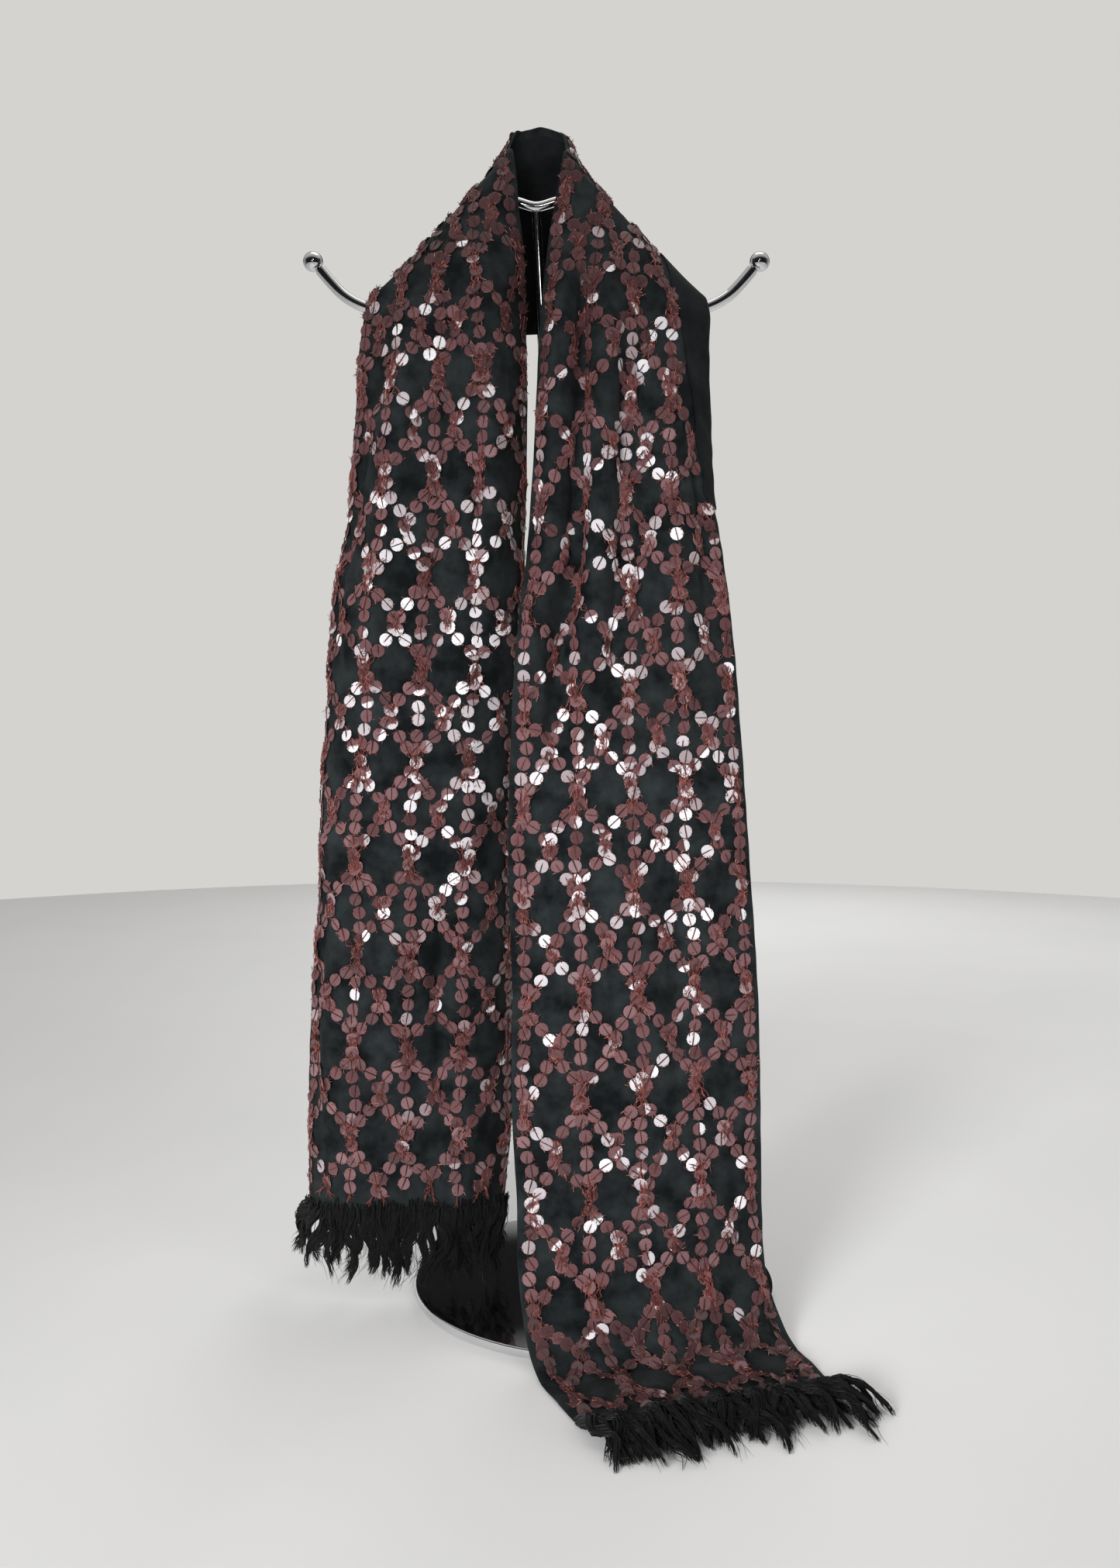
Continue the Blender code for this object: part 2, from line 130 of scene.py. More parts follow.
# Sections of the right front from the shoulder down and out along the ground
RIGHT_FRONT = (
    (-25, 3, 933.6, 86, 1, 814.7, -5, -12),
    (-26, -7, 930.6, 88, -7, 812, -2, -8),
    (-28, -14, 914, 90, -13, 801, 6, 6),
    (-33, -20, 882, 89, -15, 778, 18, 24),
    (-39, -28, 840, 89, -18, 743, 26, 34),
    (-44, -38, 781, 90, -23, 699, 30, 36),
    (-48, -49, 695, 92, -31, 653, 30, 34),
    (-53, -60, 615, 99, -40, 609, 28, 30),
    (-61, -70, 543, 107, -49, 543, 22, 26),
    (-66, -80, 467, 113, -57, 466, 16, 20),
    (-68, -92, 365, 120, -66, 361, 12, 16),
    (-65, -102, 272, 126, -74, 263, 12, 14),
    (-65, -111, 178, 128, -80, 166, 14, 16),
    (-61, -118, 108, 129, -84, 92, 16, 18),
    (-60, -126, 62, 131, -88, 52, 18, 20),
    (-56, -138, 30, 137, -95, 26, 22, 24),
    (-50, -158, 8, 145, -108, 7, 18, 18),
    (-42, -184, 0, 152, -128, 0, 0, 0),
    (-29, -215, 0, 161, -157, 0, 0, 0),
    (-15, -247, 0, 168, -187, 0, 0, 0),
)

# Sections of the neck stretch between the two shoulder lines
NECK = (
    (-68, 13, 942, -179, 10, 809, -5, -12),
    (-64, 27, 957, -162, 17, 800, -8, -12),
    (-58.5, 35.5, 963, -108, 21, 791, -14, -10),
    (-44, 41, 968.4, -48, 18, 793, -16, -10),
    (-30.5, 36, 962.4, 13, 21, 794, -14, -10),
    (-26.5, 26, 954, 66, 17, 804, -8, -12),
    (-25, 13, 941, 84, 10, 810, -5, -12),
)

# Folds that run down a front. Columns: place across the width at the fold's start and at its end (0
# at the inner edge), half its width as a share of the width, its depth, and the lengths from the
# shoulder at which it starts and ends
LEFT_FOLDS = (
    (0.24, 0.20, 0.11, 6, 40, 330),
    (0.44, 0.46, 0.10, -5, 60, 420),
    (0.66, 0.72, 0.12, 7, 30, 360),
    (0.86, 0.86, 0.10, -6, 60, 300),
    (0.55, 0.50, 0.16, 4, 420, 800),
)
RIGHT_FOLDS = (
    (0.10, 0.06, 0.08, 7, 60, 420),
    (0.24, 0.18, 0.09, -9, 50, 470),
    (0.38, 0.34, 0.10, 8, 40, 430),
    (0.56, 0.58, 0.12, -6, 60, 380),
    (0.78, 0.74, 0.14, 5, 80, 420),
    (0.50, 0.55, 0.22, 4, 480, 760),
)

# Soft creases. Columns: distance from the inner edge and from the shoulder at one end, the same at
# the other end, half the crease's width, and its depth, below nought for a trough
LEFT_CREASES = (
    (30, 70, 150, 120, 9, 1.6),
    (12, 120, 96, 196, 8, -1.8),
    (110, 160, 186, 118, 10, 1.7),
    (60, 250, 176, 300, 11, -1.5),
    (20, 330, 120, 306, 10, 1.4),
    (104, 400, 188, 446, 12, 1.5),
    (18, 470, 92, 520, 11, -1.3),
    (70, 590, 182, 566, 12, 1.3),
    (24, 680, 110, 706, 12, -1.2),
    (120, 740, 186, 700, 10, 1.3),
    (34, 80, 34, 470, 12, -5),
    (150, 90, 160, 420, 12, -3),
    (58, 500, 52, 790, 13, -6),
    (118, 480, 126, 790, 13, -5),
    (88, 520, 88, 780, 10, 3),
    (160, 520, 166, 790, 11, -3.5),
)
RIGHT_CREASES = (
    (40, 76, 128, 112, 9, 1.7),
    (14, 140, 84, 210, 8, -1.8),
    (92, 190, 184, 236, 10, 1.8),
    (120, 262, 188, 330, 9, -1.7),
    (36, 296, 112, 340, 10, 1.4),
    (60, 420, 176, 396, 12, 1.5),
    (16, 486, 90, 470, 11, -1.3),
    (96, 540, 186, 584, 13, 1.4),
    (30, 640, 130, 612, 12, -1.3),
    (84, 726, 180, 700, 11, 1.3),
    (40, 800, 150, 816, 10, -1.6),
    (70, 858, 186, 850, 9, 1.6),
    (33, 40, 24, 440, 13, -7),
    (13, 60, 9, 400, 9, 3),
    (76, 50, 62, 430, 12, -5),
    (150, 80, 156, 400, 13, -4),
    (104, 460, 118, 740, 14, -3.5),
    (30, 480, 36, 780, 12, -3),
)
NECK_CREASES = (
    (30, 20, 150, 60, 10, 1.4),
    (60, 90, 170, 110, 11, 1.2),
    (20, 120, 120, 150, 9, 1.3),
)
CREASE_FROM = 34
CREASE_BOW = 0.06
CREASE_FADE = 0.4
PUCKER = 0.32

# The turned margin: length from the shoulder, and where its free edge lies across the width
MARGIN_EDGE = (
    (0, 0.643),
    (14, 0.67),
    (40, 0.74),
    (75, 0.80),
    (110, 0.83),
    (145, 0.87),
    (180, 0.91),
    (225, 0.95),
)

# The sequins' lattice: upright lines, and zigzags that cross on those lines and between them. The
# phases are its places at the two hems, and the spreads are how far down the fronts it is fitted
LINE_FIRST = 10
LINE_PITCH = 43.7
LINES = 5
PERIOD = 76.6
LEFT_PHASE = 63.2
RIGHT_PHASE = 46.2
LINE_SAMPLE = 2.3
ZIGZAG_BEND = 0.035
SPREAD_LEFT = 350
SPREAD_RIGHT = 400
LEFT_BARE = 16

# How the hand that sewed the lines wandered. Columns: how far, and over what length
LINE_WAVES = ((0.8, 7.3), (1.7, 27))
LINE_PHASE = 6

# Crossings on the upright lines, and those between them: how far each gathers thread, how much
# shorter that is along the scarf, and how much those between count for
ON_LINE_REACH = 13
ON_LINE_SHORT = 0.55
BETWEEN_REACH = 9
BETWEEN_SHORT = 0.6
BETWEEN_SHARE = 0.7

# The sequins
SEQUIN_RADIUS = 5.25
SEQUIN_FLAT = 4.35
SEQUIN_HOLE = 0.55
SEQUIN_RISE = 0.32
SEQUIN_THICK = 0.16
SEQUIN_RIM = 0.06
SEQUIN_SIDES = 12
SEQUIN_STEP = 11.5
SEQUIN_SHIFT = 0.5
SEQUIN_VARIES = 0.018
LINE_END = 0.4
CLOSER_ON_GROUND = 0.4
KNOT_BARE = 0.5

# How the sequins sit: their tilts, what crossings and the ground add to them, and how high they are
TILT = 0.1
TILT_NEAR = 1.8
TILT_LYING = 2.4
TILT_DOWN = 0.07
TILT_MOST = 0.36
TILT_MOST_LYING = 0.3
SEQUIN_LIFT = 0.7
LIFT_VARIES = 0.25
LIFT_NEAR = 1.5
LIFT_LYING = 1.6
SIDE_SHIFT = 0.6

# Heights at which something of the sewing starts to change towards the ground, and over what drop
# For the sequins' tone: where the painted shade starts and the painted highlights fade out towards the
# ground
GROUND_TONE = (60, 40)
GROUND_CLOSER = (45, 30)
GROUND_LYING = (40, 30)

# The least distance of the sewing from the cloth's surface and from the floor
SEWING_LOW = 2.2
FLOOR_CLEAR = 0.15

# The thread: how far its ropes lie off their line and over the face, how many ends of frizz each
# sequin has at least, what a crossing adds to both, and the lengths and radii of loose ends
THREAD_RADIUS = 0.31
THREAD_ROPES = 3
STITCH_RADIUS = 0.48
FRIZZ_RADIUS = 0.34
FRIZZ_LEAST = 6
FRIZZ_NEAR = 9
FRIZZ_LENGTHS = (1.6, 4.2)
ROPE_FROM = 0.2
ROPE_SWAY = 1.9
ROPE_RISE = 0.9
ROPE_RISE_NEAR = 1.6
ROPE_TONES = (0.08, 0.9)
STITCH_TONES = (0.05, 0.36)
FRIZZ_TONES = (0.05, 1.0)
TAIL_TONE = 0.55
TAILS = 5
TAIL_LENGTHS = (4, 12)
TAIL_RADII = (0.4, 0.45, 0.38, 0.15)

# Patches of painted highlights, where sequins are painted pale as if they catch the light. Columns:
# centre's x and z, half the width and height, and the share of the sequins there
PAINTED_HIGHLIGHT_PATCHES = (
    (-128, 540, 62, 180, 0.85),
    (-160, 250, 60, 90, 0.04),
    (25, 745, 50, 70, 0.3),
    (32, 440, 74, 200, 0.72),
    (40, 110, 110, 60, 0.36),
)
PAINTED_HIGHLIGHT_ANYWHERE = 0.03

# Waves over the cloth that make the painted highlights come in groups: way and phase of each; how
# much they count for; and the share of the painted highlights lost at crossings and on the ground
PAINTED_HIGHLIGHT_WAVES = (((0.031, 0.013, 0.047), 1), ((-0.036, 0.01, 0.057), 2))
PAINTED_HIGHLIGHT_GROUPED = 0.9
PAINTED_HIGHLIGHT_LOST_NEAR = 0.5
PAINTED_HIGHLIGHT_LOST_LOW = 0.85

# The share of the painted highlights that cover one side of a sequin only, and the tones of the painted
# highlights
HALF_PAINTED_HIGHLIGHT = 0.4
PAINTED_HIGHLIGHT_TONES = (0.8, 1)

# The tone of the dull sequins: its middle, how it varies, the painted shade that the top and the
# ground take off it, and what the crossings take off it
TONE = 0.4
TONE_VARIES = 0.15
TONE_VARIES_NEAR = 0.7
TONE_MOST = 0.76
PAINTED_SHADE_TOP = 0.46
PAINTED_SHADE_TOP_FROM = 700
PAINTED_SHADE_TOP_OVER = 170
PAINTED_SHADE_GROUND = 0.36
DIM_NEAR = 0.07

# Fringes
FRINGE_LOCKS = 62
TAPE_WIDTH = 6
CLUMPS = 62
STRANDS = 34
ROOT_SPREAD = 4.6
CLUMP_WIDTH = 2.9
CLUMP_LAYER = 1.9
STRAND_RINGS = 10
STRAND_RADII = (0.4, 0.8)
WISP_SHARE = 0.1
WISP_RADII = (0.22, 0.36)
WISP_STRAY = 6

# What differs from clump to clump, as least and most: size, wave and its waves, lean, and how high
# up the hem it starts
CLUMP_RANGES = ((0.7, 1.14), (1.6, 4.8), (4.5, 10.5), (-7, 7), (0.2, 1))

# The studio, in metres, watts and degrees. Columns of the lights: name, place, the point it looks
# at, size, power, its beam's angle, whether metal mirrors it, and whether it lights cloth
FLOOR_RADIUS = 2.7
FLOOR_SIDES = 96
FLOOR_DROP = 0.0002
CAMERA_PLACE = (-0.0285, -1.229, 0.5007)
CAMERA_DOWN = 3.59
CAMERA_LENS = 34.22
CAMERA_SENSOR = 36
LIGHTS = (
    ("key", (-1.0, -2.2, 0.8), (0, 0, 0.28), 0.7, 4.3, 44, False, True),
    ("fill", (1.9, -1.7, 0.8), (0, 0, 0.38), 1.6, 3.4, 100, False, True),
    ("top", (0.1, 0.5, 2.6), (0, 0, 0.4), 1.6, 6, 180, True, True),
    ("back", (0.5, 2.4, 1.5), (0, 0, 0.5), 1.4, 16, 180, False, True),
    ("glint", (-0.34, -1.5, 0.72), (-0.05, -0.05, 0.5), 0.1, 0.7, 180, True, True),
    ("flash", (0.02, -1.32, 1.16), (-0.03, 0, 0.83), 0.14, 0.09, 90, True, False),
)

# The surround: its plain colour, what metal mirrors of it, and its strength for the light it gives
SURROUND = (0.66, 0.65, 0.63, 1)
MIRRORED = ((0.35, (0.012, 0.012, 0.014)), (0.9, (0.5, 0.49, 0.48)))
MIRRORED_OVERHEAD = ((0.34, 0.8), (0, 0.5))
DARK_PATCH = (("Z", (0.12, 0.24)), ("Z", (0.72, 0.52)), ("Y", (0.55, 0.75)))
DARK_PATCH_SHARE = 0.02
SURROUND_STRENGTH = 0.58


def ease(value):
    """Runs smoothly from 0 to 1 as the value does."""
    share = np.clip(value, 0.0, 1.0)
    return share * share * (3 - 2 * share)


def faded(value, start, end, over):
    """1 between the start and the end, and falling smoothly to 0 at both."""
    return ease((value - start) / over) * ease((end - value) / over)


def hump(away, half):
    """1 at no distance away, and falling smoothly to 0 at half the hump's width."""
    return 0.5 + 0.5 * np.cos(math.pi * np.clip(np.abs(away) / half, 0, 1))


def unit(vectors):
    """Each vector of an array at length 1."""
    return vectors / np.linalg.norm(vectors, axis=-1, keepdims=True)


def between_points(at, places, points):
    """Points read at some places along a line of points."""
    return np.stack([np.interp(at, places, points[:, axis]) for axis in range(3)], axis=-1)


def through_rows(knots, values, at):
    """A smooth curve through the values at the knots, read at the given places."""
    steps = np.diff(knots)[:, None]
    slopes = np.diff(values, axis=0) / steps
    middle = (slopes[:-1] * steps[1:] + slopes[1:] * steps[:-1]) / (steps[1:] + steps[:-1])
    tangents = np.vstack((slopes[:1], middle, slopes[-1:]))
    span = np.clip(np.searchsorted(knots, at, side="right") - 1, 0, len(knots) - 2)
    width = (knots[span + 1] - knots[span])[:, None]
    u = (np.asarray(at)[:, None] - knots[span][:, None]) / width
    first = (1 + 2 * u) * (1 - u) ** 2 * values[span] + u * (1 - u) ** 2 * width * tangents[span]
    second = u * u * (3 - 2 * u) * values[span + 1] - u * u * (1 - u) * width * tangents[span + 1]
    return first + second


def section_shape(turn_in, turn_out, across):
    """Places along a section's chord, and heights over it, for edges that turn back so far."""
    t = np.linspace(0, 1, SECTION_PARTS + 1)
    heading = np.radians(turn_in) * ease((TURN_SHARE - t) / TURN_SHARE)
    heading -= np.radians(turn_out) * ease((t - 1 + TURN_SHARE) / TURN_SHARE)
    steps = np.exp(0.5j * (heading[1:] + heading[:-1]))
    line = np.concatenate(([0], np.cumsum(steps)))
    line /= line[-1]
    return np.interp(across, t, line.real), np.interp(across, t, line.imag)


def fold_height(folds, across, length):
    """How far the folds lift the cloth at these places across the width, at one length."""
    height = np.zeros_like(across)
    for start_at, end_at, half, depth, start, end in folds:
        share = np.clip((length - start) / (end - start), 0, 1)
        centre = start_at + (end_at - start_at) * share
        height += depth * faded(length, start, end, FOLD_FADE) * hump(across - centre, half)
    return height


def knots_of(table):
    """The length from the first section to each one, measured down the middle of the cloth."""
    middle = (table[:, 0:3] + table[:, 3:6]) / 2
    return np.concatenate(([0], np.cumsum(np.linalg.norm(np.diff(middle, axis=0), axis=1))))


def surface(table, folds, lengths, across, side):
    """Points of a cloth stretch, one row for each length and one column for each place across."""
    knots = knots_of(table)
    rows = through_rows(knots, table, lengths)
    middle = (table[:, 0:3] + table[:, 3:6]) / 2
    ahead = through_rows(knots, middle, np.minimum(lengths + 1, knots[-1]))
    behind = through_rows(knots, middle, np.maximum(lengths - 1, 0))
    points = np.zeros((len(lengths), len(across), 3))
    for k, (row, way) in enumerate(zip(rows, ahead - behind)):
        inner, outer = row[0:3], row[3:6]
        chord = outer - inner
        out = side * np.cross(way, chord)
        out /= np.linalg.norm(out)
        places, heights = section_shape(row[6], row[7], across)
        lift = heights * np.linalg.norm(chord) + fold_height(folds, across, lengths[k])
        points[k] = inner + places[:, None] * chord + lift[:, None] * out
    points[..., 2] = np.maximum(points[..., 2], 0)
    return points


def out_of(points, side):
    """The unit direction out of the sequined side at each point."""
    down = np.gradient(points, axis=0)
    over = np.gradient(points, axis=1)
    return unit(side * np.cross(down, over))


def crease_height(creases, over, down):
    """How far soft creases and the stitching's pucker move the cloth out, at distances over and down."""
    height = np.zeros_like(over)
    for over_0, down_0, over_1, down_1, half, depth in creases:
        run = np.array((over_1 - over_0, down_1 - down_0), float)
        length = np.linalg.norm(run)
        run /= length
        along = (over - over_0) * run[0] + (down - down_0) * run[1]
        bow = CREASE_BOW * length * np.sin(math.pi * np.clip(along / length, 0, 1))
        off = (over - over_0) * run[1] - (down - down_0) * run[0] - bow
        height += depth * faded(along, 0, length, CREASE_FADE * length) * hump(off, half)
    waves = np.sin(over / 5.1 + 1.3 * np.sin(down / 17)) * np.sin(down / 6.3 + np.sin(over / 21))
    waves += 0.8 * np.sin(over / 9.7 - down / 13.1) * np.sin(down / 11.9 + 0.7)
    height += PUCKER * waves
    return height


class Sheet:
    """One stretch of cloth: its fine points, their directions out, and distances over them."""

    def __init__(self, table, folds, creases, side):
        self.table = np.array(table, float)
        self.folds = folds
        self.side = side
        knots = knots_of(self.table)
        self.lengths = np.linspace(0, knots[-1], round(knots[-1] / CLOTH_STEP) + 1)
        rim = np.array(HEM_COLUMNS) / WIDTH
        inner = np.linspace(rim[-1], 1 - rim[-1], round(WIDTH / CLOTH_STEP))
        self.across = np.concatenate((rim[:-1], inner, 1 - rim[-2::-1]))
        self.points = surface(self.table, folds, self.lengths, self.across, side)
        self.out = out_of(self.points, side)
        over, down = np.meshgrid(self.across * WIDTH, self.lengths)
        fade = faded(down, CREASE_FROM, knots[-1], CREASE_FROM)
        self.points += self.out * (fade * crease_height(creases, over, down))[..., None]
        self.points[..., 2] = np.maximum(self.points[..., 2], 0)
        self.out = out_of(self.points, side)

    def measure(self, from_end):
        """The true distance along each column, from the last row or from the first."""
        steps = np.linalg.norm(np.diff(self.points, axis=0), axis=2)
        run = np.vstack((np.zeros(len(self.across)), np.cumsum(steps, axis=0)))
        return run[-1] - run if from_end else run

    def at(self, row, column, values):
        """Values of the grid between its points."""
        r = np.clip(row.astype(int), 0, len(self.lengths) - 2)
        c = np.clip(column.astype(int), 0, len(self.across) - 2)
        a, b = (row - r)[:, None], (column - c)[:, None]
        top = values[r, c] * (1 - b) + values[r, c + 1] * b
        low = values[r + 1, c] * (1 - b) + values[r + 1, c + 1] * b
        return top * (1 - a) + low * a

    def follow(self, over, distance, run):
        """Rows and columns of the grid for distances across and along, and which of them are on it."""
        columns = np.interp(over / WIDTH, self.across, np.arange(len(self.across)))
        rows = np.zeros(len(over))
        inside = np.zeros(len(over), bool)
        order = np.arange(len(self.lengths))
        for k, (column, s) in enumerate(zip(columns, distance)):
            c = min(int(column), len(self.across) - 2)
            line = run[:, c] + (run[:, c + 1] - run[:, c]) * (column - c)
            inside[k] = min(line[0], line[-1]) <= s <= max(line[0], line[-1])
            if line[0] > line[-1]:
                rows[k] = np.interp(s, line[::-1], order[::-1])
            else:
                rows[k] = np.interp(s, line, order)
        return rows, columns, inside


def new_piece(name, vertices, faces, material, slot, smooth=True, replaced=()):
    """A piece of mesh from points in millimetres. It rides on the part's one body."""
    mesh = bpy.data.meshes.new(name)
    mesh.from_pydata((np.asarray(vertices) * MM).tolist(), [], faces)
    if smooth:
        mesh.shade_smooth()
        mesh.set_sharp_from_angle(angle=math.radians(SHARP_ANGLE))
    mesh.materials.append(material)
    piece = bpy.data.objects.new(name, mesh)
    bpy.context.collection.objects.link(piece)
    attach(piece, "root")
    if replaced:
        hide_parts(*replaced)
    return piece


def shade(piece, name, values):
    """Keeps one number for each point, for the piece's material to read."""
    layer = piece.data.attributes.new(name, "FLOAT", "POINT")
    layer.data.foreach_set("value", np.asarray(values, np.float32))


def wall(points, out, low, high):
    """A closed thin shell between two distances from a sheet; low and high have one for each column."""
    rows, columns = points.shape[:2]
    lower = points + out * np.broadcast_to(low, columns)[None, :, None]
    upper = points + out * np.broadcast_to(high, columns)[None, :, None]
    vertices = np.concatenate((lower.reshape(-1, 3), upper.reshape(-1, 3)))
    index = np.arange(rows * columns).reshape(rows, columns)
    faces = []
    for sheet, flip in ((index, True), (index + rows * columns, False)):
        quads = np.stack((sheet[:-1, :-1], sheet[:-1, 1:], sheet[1:, 1:], sheet[1:, :-1]), axis=-1)
        quads = quads.reshape(-1, 4)
        faces += (quads[:, ::-1] if flip else quads).tolist()
    rim = np.concatenate((index[0], index[1:, -1], index[-1, -2::-1], index[-2:0:-1, 0]))
    after = np.roll(rim, -1)
    top = rows * columns
    faces += np.stack((rim, after, after + top, rim + top), axis=-1).tolist()
    return vertices, faces


def outward(piece):
    """Turns a closed piece's faces out."""
    area = 0.0
    for face in piece.data.polygons:
        area += face.center.dot(face.normal) * face.area
    if area < 0:
        piece.data.flip_normals()


def ring_faces(index):
    """The faces between rings of points, given their numbers with one row for each ring."""
    after = np.roll(index, -1, axis=-1)
    corners = (index[..., :-1, :], after[..., :-1, :], after[..., 1:, :], index[..., 1:, :])
    return np.stack(corners, axis=-1).reshape(-1, 4)


def tubes(lines, radii, sides, up=None):
    """Closed tapered tubes round many lines at once."""
    lines = np.asarray(lines, float)
    way = np.gradient(lines, axis=1)
    way /= np.maximum(np.linalg.norm(way, axis=2, keepdims=True), 1e-9)
    if up is None:
        mean = np.abs(way.mean(axis=1, keepdims=True))
        up = np.where(mean[..., 2:3] < 0.7, (0.0, 0.0, 1.0), (1.0, 0.0, 0.0))
    first = np.cross(way, up)
    first /= np.maximum(np.linalg.norm(first, axis=2, keepdims=True), 1e-9)
    second = np.cross(way, first)
    angle = math.tau * np.arange(sides) / sides
    ring = first[:, :, None] * np.cos(angle)[:, None] + second[:, :, None] * np.sin(angle)[:, None]
    vertices = lines[:, :, None] + ring * np.asarray(radii)[:, :, None, None]
    count, rings = lines.shape[:2]
    index = np.arange(count * rings * sides).reshape(count, rings, sides)
    faces = ring_faces(index).tolist() + index[:, 0, ::-1].tolist() + index[:, -1].tolist()
    return vertices.reshape(-1, 3), faces


def joined(parts):
    """Several sets of points and faces as one."""
    vertices, faces, start = [], [], 0
    for some, corners in parts:
        vertices.append(some)
        faces += [[c + start for c in face] for face in corners]
        start += len(some)
    return np.concatenate(vertices), faces


def node_material(name, colour, roughness, metallic=0.0):
    """A material with its shader's plain values set."""
    material = bpy.data.materials.new(name)
    material.use_nodes = True
    material.diffuse_color = (*colour, 1)
    shader = material.node_tree.nodes["Principled BSDF"]
    shader.inputs["Base Color"].default_value = (*colour, 1)
    shader.inputs["Roughness"].default_value = roughness
    shader.inputs["Metallic"].default_value = metallic
    return material, shader


def noise(material, scale, detail, roughness=0.5):
    """A noise over the object's own coordinates, in metres; gives its value."""
    tree = material.node_tree
    place = tree.nodes.get("place") or tree.nodes.new("ShaderNodeTexCoord")
    place.name = "place"
    texture = tree.nodes.new("ShaderNodeTexNoise")
    texture.inputs["Scale"].default_value = scale
    texture.inputs["Detail"].default_value = detail
    texture.inputs["Roughness"].default_value = roughness
    tree.links.new(place.outputs["Object"], texture.inputs["Vector"])
    return texture.outputs["Fac"]


def ramp(material, source, stops):
    """Colours read from a value."""
    tree = material.node_tree
    node = tree.nodes.new("ShaderNodeValToRGB")
    marks = node.color_ramp.elements
    while len(marks) < len(stops):
        marks.new(0.5)
    for mark, (place, colour) in zip(marks, stops):
        mark.position = place
        mark.color = (*colour, 1)
    tree.links.new(source, node.inputs["Fac"])
    return node.outputs["Color"]


def bump(material, shader, source, strength, distance):
    """Relief from a value; a later call lies on top of an earlier one."""
    tree = material.node_tree
    node = tree.nodes.new("ShaderNodeBump")
    node.inputs["Strength"].default_value = strength
    node.inputs["Distance"].default_value = distance
    tree.links.new(source, node.inputs["Height"])
    link = shader.inputs["Normal"].links
    if link:
        tree.links.new(link[0].from_socket, node.inputs["Normal"])
    tree.links.new(node.outputs["Normal"], shader.inputs["Normal"])


def mapped(tree, source, given=(0, 1), wanted=(0, 1)):
    """A value moved from a given range to a wanted one."""
    node = tree.nodes.new("ShaderNodeMapRange")
    for side, bound in enumerate(("Min", "Max")):
        node.inputs["From " + bound].default_value = given[side]
        node.inputs["To " + bound].default_value = wanted[side]
    tree.links.new(source, node.inputs["Value"])
    return node.outputs["Result"]


def combined(tree, operation, first, second):
    """Two values added or multiplied."""
    node = tree.nodes.new("ShaderNodeMath")
    node.operation = operation
    tree.links.new(first, node.inputs[0])
    tree.links.new(second, node.inputs[1])
    return node.outputs["Value"]


def fill(material, shader, linked, plain):
    """Links the shader's sockets that vary over the surface, and sets its plain ones."""
    for name, source in linked.items():
        material.node_tree.links.new(source, shader.inputs[name])
    for name, value in plain.items():
        shader.inputs[name].default_value = value


def attribute(material, name):
    """A number kept on the mesh's points."""
    node = material.node_tree.nodes.new("ShaderNodeAttribute")
    node.attribute_name = name
    return node.outputs["Fac"]


def silk_material(name, dark, pale):
    """Black silk crepe: a soft cloudy nap over a fine grain."""
    material, shader = node_material(name, pale, 0.8)
    clouds = ramp(material, noise(material, 40, 5, 0.62), ((0.36, dark), (0.7, pale)))
    rough = mapped(material.node_tree, noise(material, 90, 3), wanted=(0.66, 0.94))
    fill(material, shader, {"Base Color": clouds, "Roughness": rough},
         {"Sheen Weight": 0.05, "Sheen Roughness": 0.4, "Specular IOR Level": 0.2})
    bump(material, shader, noise(material, 1500, 2), 0.35, 0.0003)
    bump(material, shader, noise(material, 260, 3), 0.3, 0.0006)
    return material


def sequin_material():
    """Flat glossy sequins: dusty mauve, and some with painted highlights where they would catch the light.
    """
    material, shader = node_material("sequin_gloss", (0.14, 0.06, 0.064), 0.3)
    tone = ramp(material, attribute(material, "tone"), (
        (0.0, (0.060, 0.027, 0.029)),
        (0.38, (0.135, 0.061, 0.066)),
        (0.7, (0.21, 0.112, 0.12)),
        # Painted highlights: the tones from 0.84 up are pale, near white
        (0.84, (0.38, 0.33, 0.35)),
        (0.96, (0.78, 0.76, 0.79)),
    ))
    rough = mapped(material.node_tree, noise(material, 380, 3), wanted=(0.2, 0.4))
    fill(material, shader, {"Base Color": tone, "Roughness": rough},
         {"Coat Weight": 0.3, "Coat Roughness": 0.12})
    return material


def thread_material():
    """Red-brown sewing thread, uneven along its length."""
    material, shader = node_material("thread_fibre", (0.24, 0.07, 0.055), 0.7)
    tree = material.node_tree
    uneven = mapped(tree, noise(material, 210, 4, 0.7), wanted=(-0.25, 0.25))
    tone = ramp(material, combined(tree, "ADD", attribute(material, "tone"), uneven), (
        (0.05, (0.020, 0.008, 0.008)),
        (0.4, (0.115, 0.032, 0.028)),
        (0.7, (0.25, 0.066, 0.053)),
        (0.95, (0.44, 0.16, 0.13)),
    ))
    fill(material, shader, {"Base Color": tone}, {"Sheen Weight": 0.1})
    bump(material, shader, noise(material, 2200, 2), 0.5, 0.0002)
    return material


def yarn_material():
    """Matted black yarn."""
    material, shader = node_material("yarn_fibre", (0.005, 0.0055, 0.006), 0.85)
    tone = ramp(material, noise(material, 130, 5, 0.7), (
        (0.3, (0.003, 0.003, 0.0035)),
        (0.6, (0.009, 0.0095, 0.0105)),
        (0.8, (0.02, 0.022, 0.025)),
    ))
    fill(material, shader, {"Base Color": tone},
         {"Sheen Weight": 0.08, "Sheen Roughness": 0.4, "Specular IOR Level": 0.35})
    bump(material, shader, noise(material, 1800, 3), 0.6, 0.0003)
    return material


